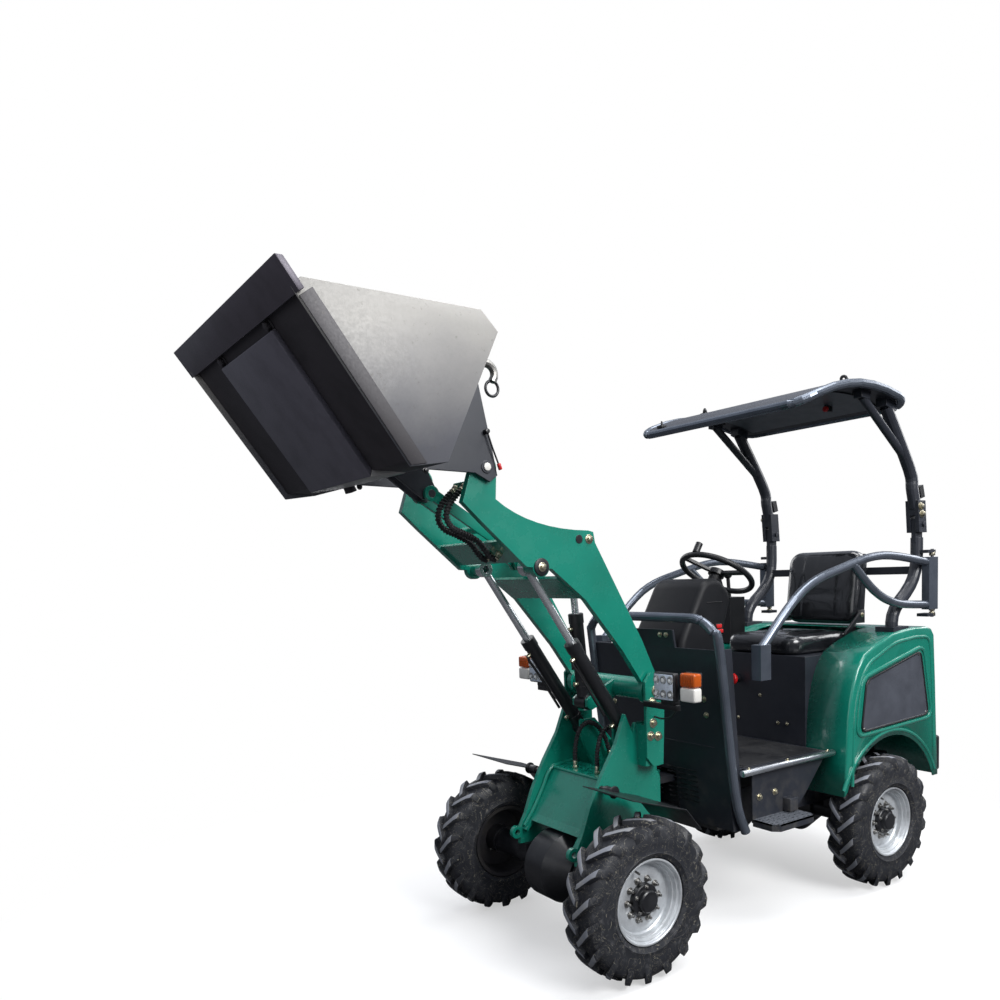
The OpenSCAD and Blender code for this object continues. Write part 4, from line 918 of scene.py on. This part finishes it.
def buildCushion(node, spec):
    bm = bmesh.new()
    sx, sy, sz = spec["size"]
    bmesh.ops.create_cube(bm, size=1.0)
    bmesh.ops.scale(bm, verts=bm.verts, vec=spec["size"])

    def rise(e):
        return abs((e.verts[0].co - e.verts[1].co).z) / sz
    bevelEdges(bm, [e for e in bm.edges if rise(e) > 0.5], 0.075, 6)
    bevelEdges(bm, [e for e in bm.edges if rise(e) < 0.1], 0.030, 4)
    for normal, size in ((Vector((1, 0, 0)), sx), (Vector((0, 1, 0)), sy)):
        for k in range(1, seatGrid):
            cutPlane(bm, normal * size * (k / seatGrid - 0.5), normal)
    for v in bm.verts:
        u, w = 2 * v.co.x / sx, 2 * v.co.y / sy
        lift = spec["crown"] * max(1 - u ** 4, 0) * max(1 - w ** 4, 0)
        for seam in spec["seams"]:
            lift -= 0.011 * dip(v.co.y - seam, 0.011) * max(1 - u ** 6, 0)
        lift -= 0.006 * dip(v.co.x - 0.11 * sx, 0.010) * max(1 - (w / 0.62) ** 8, 0)
        if v.co.z > 0:
            v.co.z += lift * v.co.z / (sz / 2)
    if spec["lean"] is not None:
        a = radians(spec["lean"])
        turn = Matrix(((sin(a), 0, cos(a)), (0, 1, 0), (-cos(a), 0, sin(a))))
        bmesh.ops.transform(bm, verts=bm.verts, matrix=turn.to_4x4())
    bmesh.ops.translate(bm, verts=bm.verts, vec=mm(*spec["place"]))
    piece = finishPiece(node + "_padded", bm, "vinyl", "rear_frame", "black_vinyl", [node], 60, True)


for node, spec in seatShape.items():
    buildCushion(node, spec)

# Brackets that carry the seat's back, and the plate behind it
bracketShape = {
    "arm": [(-190, 840), (-110, 840), (-110, 900), (-195, 965), (-245, 1010), (-280, 1010), (-280, 942),
            (-205, 942)],
    "armSide": (225, 237), "bolts": [(-150, 868), (-255, 985)],
    "back": [(-1118, 950), (-1150, 1300), (-1130, 1306), (-1096, 950)], "backHalf": 205}


@piece("seat_brackets", "blackPaint zincPlate blackPlastic", "rear_frame", "black_vinyl")
def seatBracketsPiece(bm):
    arm, (inner, outer), bolts, back, half = bracketShape.values()
    for s in bothSides:
        addPlate(bm, fromRear(arm), *span(s, inner, outer), 0.002, 0, 2)
        for spot in lane(fromRear(bolts), s * outer):
            addBolt(bm, spot, (0, s, 0), 0.013, 1)
    addPlate(bm, roundOutline(back, 10), -half, half, 0.006, 2, 3)


# Dash cover with a boot under the wheel, a pair of red rocker switches and a dark strip
dashShape = {
    "outline": [(199, 700), (222, 905), (50, 1200), (-50, 1210), (-140, 1130), (-60, 900), (-20, 700)],
    "half": 165, "hub": (-210, 0, 1228), "lean": -32, "folds": 6, "switches": [(-36, 985), (-44, 962)]}


@piece("dash_cover", "dashPlastic redPlastic darkSteel", "rear_frame", "black_plastic", ["dash"])
def dashPiece(bm):
    outline, half, hub, lean, folds, switches = dashShape.values()
    addPlate(bm, roundOutline(outline, 70, 8), -half, half, 0.030, 0, 6)
    column, hub = Vector((sin(radians(lean)), 0, cos(radians(lean)))), mm(*hub)
    addCylinder(bm, hub - column * 0.140, hub - column * 0.014, 0.030, 32, 0, bevel=0.002)
    for k in range(folds):
        start = hub - column * (0.126 - 0.014 * k)
        addCylinder(bm, start, start + column * 0.008, 0.042 - 0.0018 * k, 32, 0, bevel=0.002)
    for x, h in switches:
        addBox(bm, mm(x - 17, half - 2, h - 9), mm(x + 17, half + 7, h + 9), 1, 0.003)
        addBox(bm, mm(x - 21, half - 4, h - 12), mm(x + 21, half + 2, h + 12), 0, 0.002)
    addBox(bm, mm(-60, half - 3, 1095), mm(40, half + 1.5, 1099), 2, 0.0005)


print("seat and dash")

# Floor: a ribbed mat and bright edge tubes with bolts
floorShape = {"x": (-478, 62), "half": 385, "h": (370, 373, 377), "ribs": 58, "margin": 12, "rib": 2.4,
              "tube": 0.0153, "tubeX": (-484, 151), "tubeSide": 455, "bolts": (-440, -150, 110)}


@piece("floor_mat_and_tubes", "matRubber alloyTube zincPlate", "rear_frame", "charcoal_paint")
def floorPiece(bm):
    (x0, x1), half, (low, top, ribTop), ribs, margin, rib, tube, tubeX, tubeSide, bolts = floorShape.values()
    addBox(bm, mm(x0, -half, low), mm(x1, half, top), 0, 0.001)
    for k in range(ribs):
        y = -half + margin + 2 * (half - margin) * k / (ribs - 1)
        addBox(bm, mm(x0 + margin, y - rib, top), mm(x1 - margin, y + rib, ribTop), 0)
    for s in bothSides:
        y = s * tubeSide
        addCylinder(bm, *[mm(x, y, low) for x in tubeX], tube, 28, 1, bevel=0.002)
        for x in bolts:
            addBolt(bm, mm(x, y, low + 15), (0, 0, 1), 0.010, 2)


# Slotted step plates with a rail round their outer sides, under skirts
stepShape = {
    "x": (-225, 55), "y": (428, 558), "h": (116, 146), "cut": 28, "rows": 5, "cols": 8, "slot": (18, 8),
    "sheet": 0.006, "rail": 6, "skirt": [(55, 360), (55, 130), (-235, 130), (-315, 200), (-465, 360)],
    "skirtSide": (420, 428), "bolts": [(10, 240), (-95, 246)]}


@piece("step_plates", "charcoalPaint zincPlate stepPaint", "rear_frame", "charcoal_paint", ["side_steps"])
def stepsPiece(bm):
    (x0, x1), (y0, y1), (h0, h1), cut, rows, cols, (sx, sy), *others = stepShape.values()
    thick, railWidth, skirt, (inner, outer), bolts = others
    outline = [(x0, y0), (x1, y0), (x1, y1 - cut), (x1 - cut, y1), (x0 + cut, y1), (x0, y1 - cut)]
    slots = [(x0 + (x1 - x0) * (c + 0.5 + 0.25 * (r % 2 - 0.5)) / cols,
              y0 + (y1 - y0) * (r + 0.6) / (rows + 0.2)) for r in range(rows) for c in range(cols)]
    for s in bothSides:
        def offSlot(f, x, y):  # a face's distance from a slot's middle, as parts of the slot's half size
            spot = f.calc_center_median() - mm(x, s * y, h1)
            return abs(spot.x) * 2000 / sx, abs(spot.y) * 2000 / sy
        sheet = bmesh.new()
        sheet.faces.new([sheet.verts.new(mm(x, s * y, h1)) for x, y in outline])
        for y in sorted({y for x, y in slots}):
            for edge in (y - sy / 2, y + sy / 2):
                cutPlane(sheet, mm(0, s * edge, 0), (0, 1, 0))
        for x, y in slots:
            for edge in (x - sx / 2, x + sx / 2):
                band = [f for f in sheet.faces if offSlot(f, x, y)[1] < 1]
                cutPlane(sheet, mm(edge, 0, 0), (1, 0, 0), band + edgesOf(band) + vertsOf(band))
        gone = [f for f in sheet.faces if any(max(offSlot(f, x, y)) < 0.95 for x, y in slots)]
        bmesh.ops.delete(sheet, geom=gone, context="FACES")
        pushOut(sheet, sheet.faces[:], (0, 0, -thick))
        bmesh.ops.recalc_face_normals(sheet, faces=sheet.faces)
        appendMesh(bm, meshFrom("stepSheet", sheet), 2)
        for a, b in zip(outline[1:], outline[2:] + outline[:1]):
            a, b = Vector(a), Vector(b)
            inward = Vector((a.y - b.y, b.x - a.x)).normalized() * railWidth
            corners = [mm(p.x, s * p.y, h0) for p in (a, b, b + inward, a + inward)]
            rail = bm.faces.new([bm.verts.new(p) for p in corners])
            pushOut(bm, [rail], (0, 0, (h1 - h0) / 1000))
        addPlate(bm, skirt, *span(s, inner, outer))
        for spot in lane(bolts, s * outer):
            addBolt(bm, spot, (0, s, 0), 0.017, 1)
        sideBox(bm, s, (-205, 424, 150), (-150, 470, 210), 0, 0.003)


print("floor and steps")

# Bolts and small fittings, one piece for each body: place, direction and size of each bolt
ahead = (1, 0, 0)
boltSpots = {
    "rear_frame": [((245.7, y, 962), ahead, 0.014) for y in (70, 108)]
    + [((x, s * y, h), ahead, 0.015) for s in bothSides for x, y, h in ((209, 296, 684), (201, 302, 614))]
    + [((-502, 16, 598), ahead, 0.010)]
    + [((-502, s * y, h), ahead, 0.010) for s in bothSides for y, h in ((127, 467), (181, 469))],
    "canopy": [
        ((x, s * 488, h), (0, s, 0), 0.021) for s in bothSides for x, h in ((-1176, 1492), (-1164, 1530))],
    "front_frame": [
        ((x, s * 276, h), (0, s, 0), size) for s in bothSides for x, h, size in (
            (499, 703, 0.021), (496, 613, 0.021), (469, 554, 0.021), (511, 560, 0.021), (475, 748, 0.026))],
    "loader_arm": [
        ((x, s * y, h), (0, s, 0), size) for s in bothSides for x, y, h, size in (
            (798, 252, 1384, 0.020), (1036, 259, 1279, 0.019))],
}
# Round fittings of a body: both ends, radius, sides, material and edge radius
roundSpots = {
    "loader_arm": [
        ((x, s * 252, h), (x, s * y, h), *rest) for s in bothSides for x, y, h, *rest in (
            (1036, 259, 1279, 0.034, 32, 1, 0.002), (848, 254, 1384, 0.017, 28, 1, 0.0))],
    "rear_frame": [
        ((-1235, s * 510, h - 9), (-1235, s * 510, h + 9), 0.0145, 20, 0, 0.002)
        for s in bothSides for h in (988, 1010, 1262, 1290)]
    + [((-502, -127, 674), (-470, -127, 674), 0.021, 24, 1, 0.002),
       ((-470, -127, 674), (-448, -127, 674), 0.030, 28, 2, 0.006)],
}
for body, spots in boltSpots.items():
    bm = bmesh.new()
    for place, normal, size in spots:
        addBolt(bm, mm(*place), normal, size)
    for start, end, radius, segments, matIndex, bevel in roundSpots.get(body, ()):
        addCylinder(bm, mm(*start), mm(*end), radius, segments, matIndex, bevel=bevel)
    finishPiece(body + "_bolts", bm, "zincPlate blackPaint redPlastic", body, "black_paint")
print("bolts")

# Rounded bumper pads
bumperShape = {"pad": [(-545, 160), (-545, 345), (-481.4, 345), (-494.6, 160)], "y": (300, 500),
               "screws": (340, 460), "screwX": (-1339.8, -1336), "screwH": 252}


@piece("bumper_pads", "blackPlastic darkSteel", "rear_frame", "black_plastic", ["rear_bumper"])
def bumperPiece(bm):
    pad, reach, screws, screwX, h = bumperShape.values()
    for s in bothSides:
        addPlate(bm, fromRear(pad), *span(s, *reach), 0.014, 0, 4)
        for y in screws:
            addCylinder(bm, *[mm(x, s * y, h) for x in screwX], 0.014, 20, 1)


# Cylinder fittings, from each barrel's foot, eye, side and length: gland rings, ports and a steel pipe
barrelRadius = 0.030
cylinders = {
    "left_lift_barrel": ((540, 550), (1036, 1279), 155, 0.510),
    "right_lift_barrel": ((540, 550), (1036, 1279), -155, 0.510),
    "tilt_cylinder": ((640, 690), (700, 1337), 0, 0.390)}
for body, (foot, eye, y, length) in cylinders.items():
    bm = bmesh.new()
    start = mm(foot[0], y, foot[1])
    along = Vector((eye[0] - foot[0], 0, eye[1] - foot[1])).normalized()
    out = Vector((along.z, 0, -along.x))
    for a, b, proud in ((length - 0.042, length - 0.002, 0.003), (0.060, 0.074, 0.002)):
        addRing(bm, start + along * a, start + along * b, barrelRadius + proud, barrelRadius - 0.002)
    top = length - 0.065
    for d in (0.085, top):
        port = start + along * d
        addCylinder(bm, port + out * 0.026, port + out * 0.046, 0.010, 16, 1, bevel=0.001)
    pipe = [(top, 0.040), (top - 0.02, 0.047), (top - 0.06, 0.044), (0.20, 0.043), (0.15, 0.043)]
    addTube(bm, [start + along * d + out * off for d, off in pipe], 0.0062, matIndex=2)
    finishPiece(body + "_fittings", bm, "blackPaint zincPlate darkSteel", body, "black_paint")
print("cylinder fittings")

roofShape = {"front": 600, "length": 820, "heights": (1970, 2180, 2025), "skin": 30, "liningX": (540, 700),
             "liningHalf": 390, "lining": 3}


def roofHeight(x):
    t = (rearX + roofShape["front"] - x) / roofShape["length"]
    first, middle, last = roofShape["heights"]
    return (1 - t) ** 2 * first + 2 * t * (1 - t) * middle + t ** 2 * last


# Roof lining, and a red knob on its bracket under the roof
@piece("roof_lining", "roofGrey blackPlastic redPlastic", "canopy", "charcoal_paint")
def liningPiece(bm):
    (start, length), half, skin = roofShape["liningX"], roofShape["liningHalf"], roofShape["skin"]
    under = [(x, roofHeight(x) - skin) for x in [rearX + start - length * k / 16 for k in range(17)]]
    back = [(x, h - roofShape["lining"]) for x, h in reversed(under)]
    addPlate(bm, under + back, -half, half, 0.0008, 0)
    addBox(bm, mm(-838, 186, 2018), mm(-806, 214, roofHeight(-820) - skin), 1, 0.003)
    addCylinder(bm, mm(-806, 200, 2030), mm(-790, 200, 2030), 0.014, 20, 2, bevel=0.003)


# Tower trim: rolled edges of the front plate and the fender stays
trimShape = {"edge": [(577, 394), (662, 386), (692, 379), (747, 293), (805, 200), (852, 140)],
             "edgeSide": 183, "fold": (684, 186, 379), "stay": (735, 362), "staySide": (240, 290, 298)}


@piece("tower_trim", "greenPaint blackPaint", "front_frame", "green_paint")
def towerTrimPiece(bm):
    edge, edgeSide, (x, y, h), (stayX, stayH), staySide = trimShape.values()
    addTube(bm, [mm(x, -y, h), mm(x, y, h)], 0.0075)
    for s in bothSides:
        addTube(bm, lane(edge, s * edgeSide), 0.0085)
        start, end, cap = (mm(stayX, s * reach, stayH) for reach in staySide)
        addCylinder(bm, start, end, 0.019, 24, 1, bevel=0.003)
        addCylinder(bm, end, cap, 0.026, 24, 1, bevel=0.002)


cowlShape = {"louvres": [196 + 24 * row for row in range(7)], "columns": (22, 88, 154), "louvre": 54,
             "fold": 470}


def cowlX(h):  # the cowl's sloping front
    return pivotX - 138 + 93 * (h - 100) / 805


# Pressed louvres low on the cowl, and a fold line above them
@piece("cowl_louvres", "blackPaint charcoalPaint", "rear_frame", "charcoal_paint")
def cowlTrimPiece(bm):
    louvres, columns, width, fold = cowlShape.values()
    foldX = cowlX(fold)
    for s in bothSides:
        for h in louvres:
            for y in columns:
                sideBox(bm, s, (cowlX(h) - 6, y, h - 4), (cowlX(h) + 3, y + width, h + 4), 0, 0.002)
        sideBox(bm, s, (foldX - 6, 30, fold - 3), (foldX + 2, 330, fold + 3), 1, 0.001)


print("tower and cowl trim")

clampShape = {"x": -612, "hook": [(-612, 420, 10), (-606, 424, 30), (-612, 434, 34), (-618, 446, 16)],
              "peg": (-236, -384)}


# Roof hardware: clamps over the rim, brackets under it and a peg at the front corner
@piece("roof_clamps", "blackPlastic", "canopy", "black_plastic")
def roofClampsPiece(bm):
    x, hook, (pegX, pegY) = clampShape.values()
    top, peg = roofHeight(x), roofHeight(pegX)
    for s in bothSides:
        sideBox(bm, s, (x - 20, 412, top - 4), (x + 20, 450, top + 14), 0, 0.004)
        addTube(bm, [mm(hx, s * hy, top + up) for hx, hy, up in hook], 0.007)
        sideBox(bm, s, (-765, 420, roofHeight(-745) - 40), (-690, 474, roofHeight(-690) - 27), 0, 0.003)
    addBox(bm, mm(pegX - 20, pegY - 20, peg - 4), mm(pegX + 20, pegY + 20, peg + 12), 0, 0.004)
    addCylinder(bm, mm(pegX, pegY, peg + 10), mm(pegX, pegY, peg + 34), 0.007, 16, 0, 0.004, 0.001)


print("canopy")

bpy.context.scene.view_settings.view_transform = "Standard"
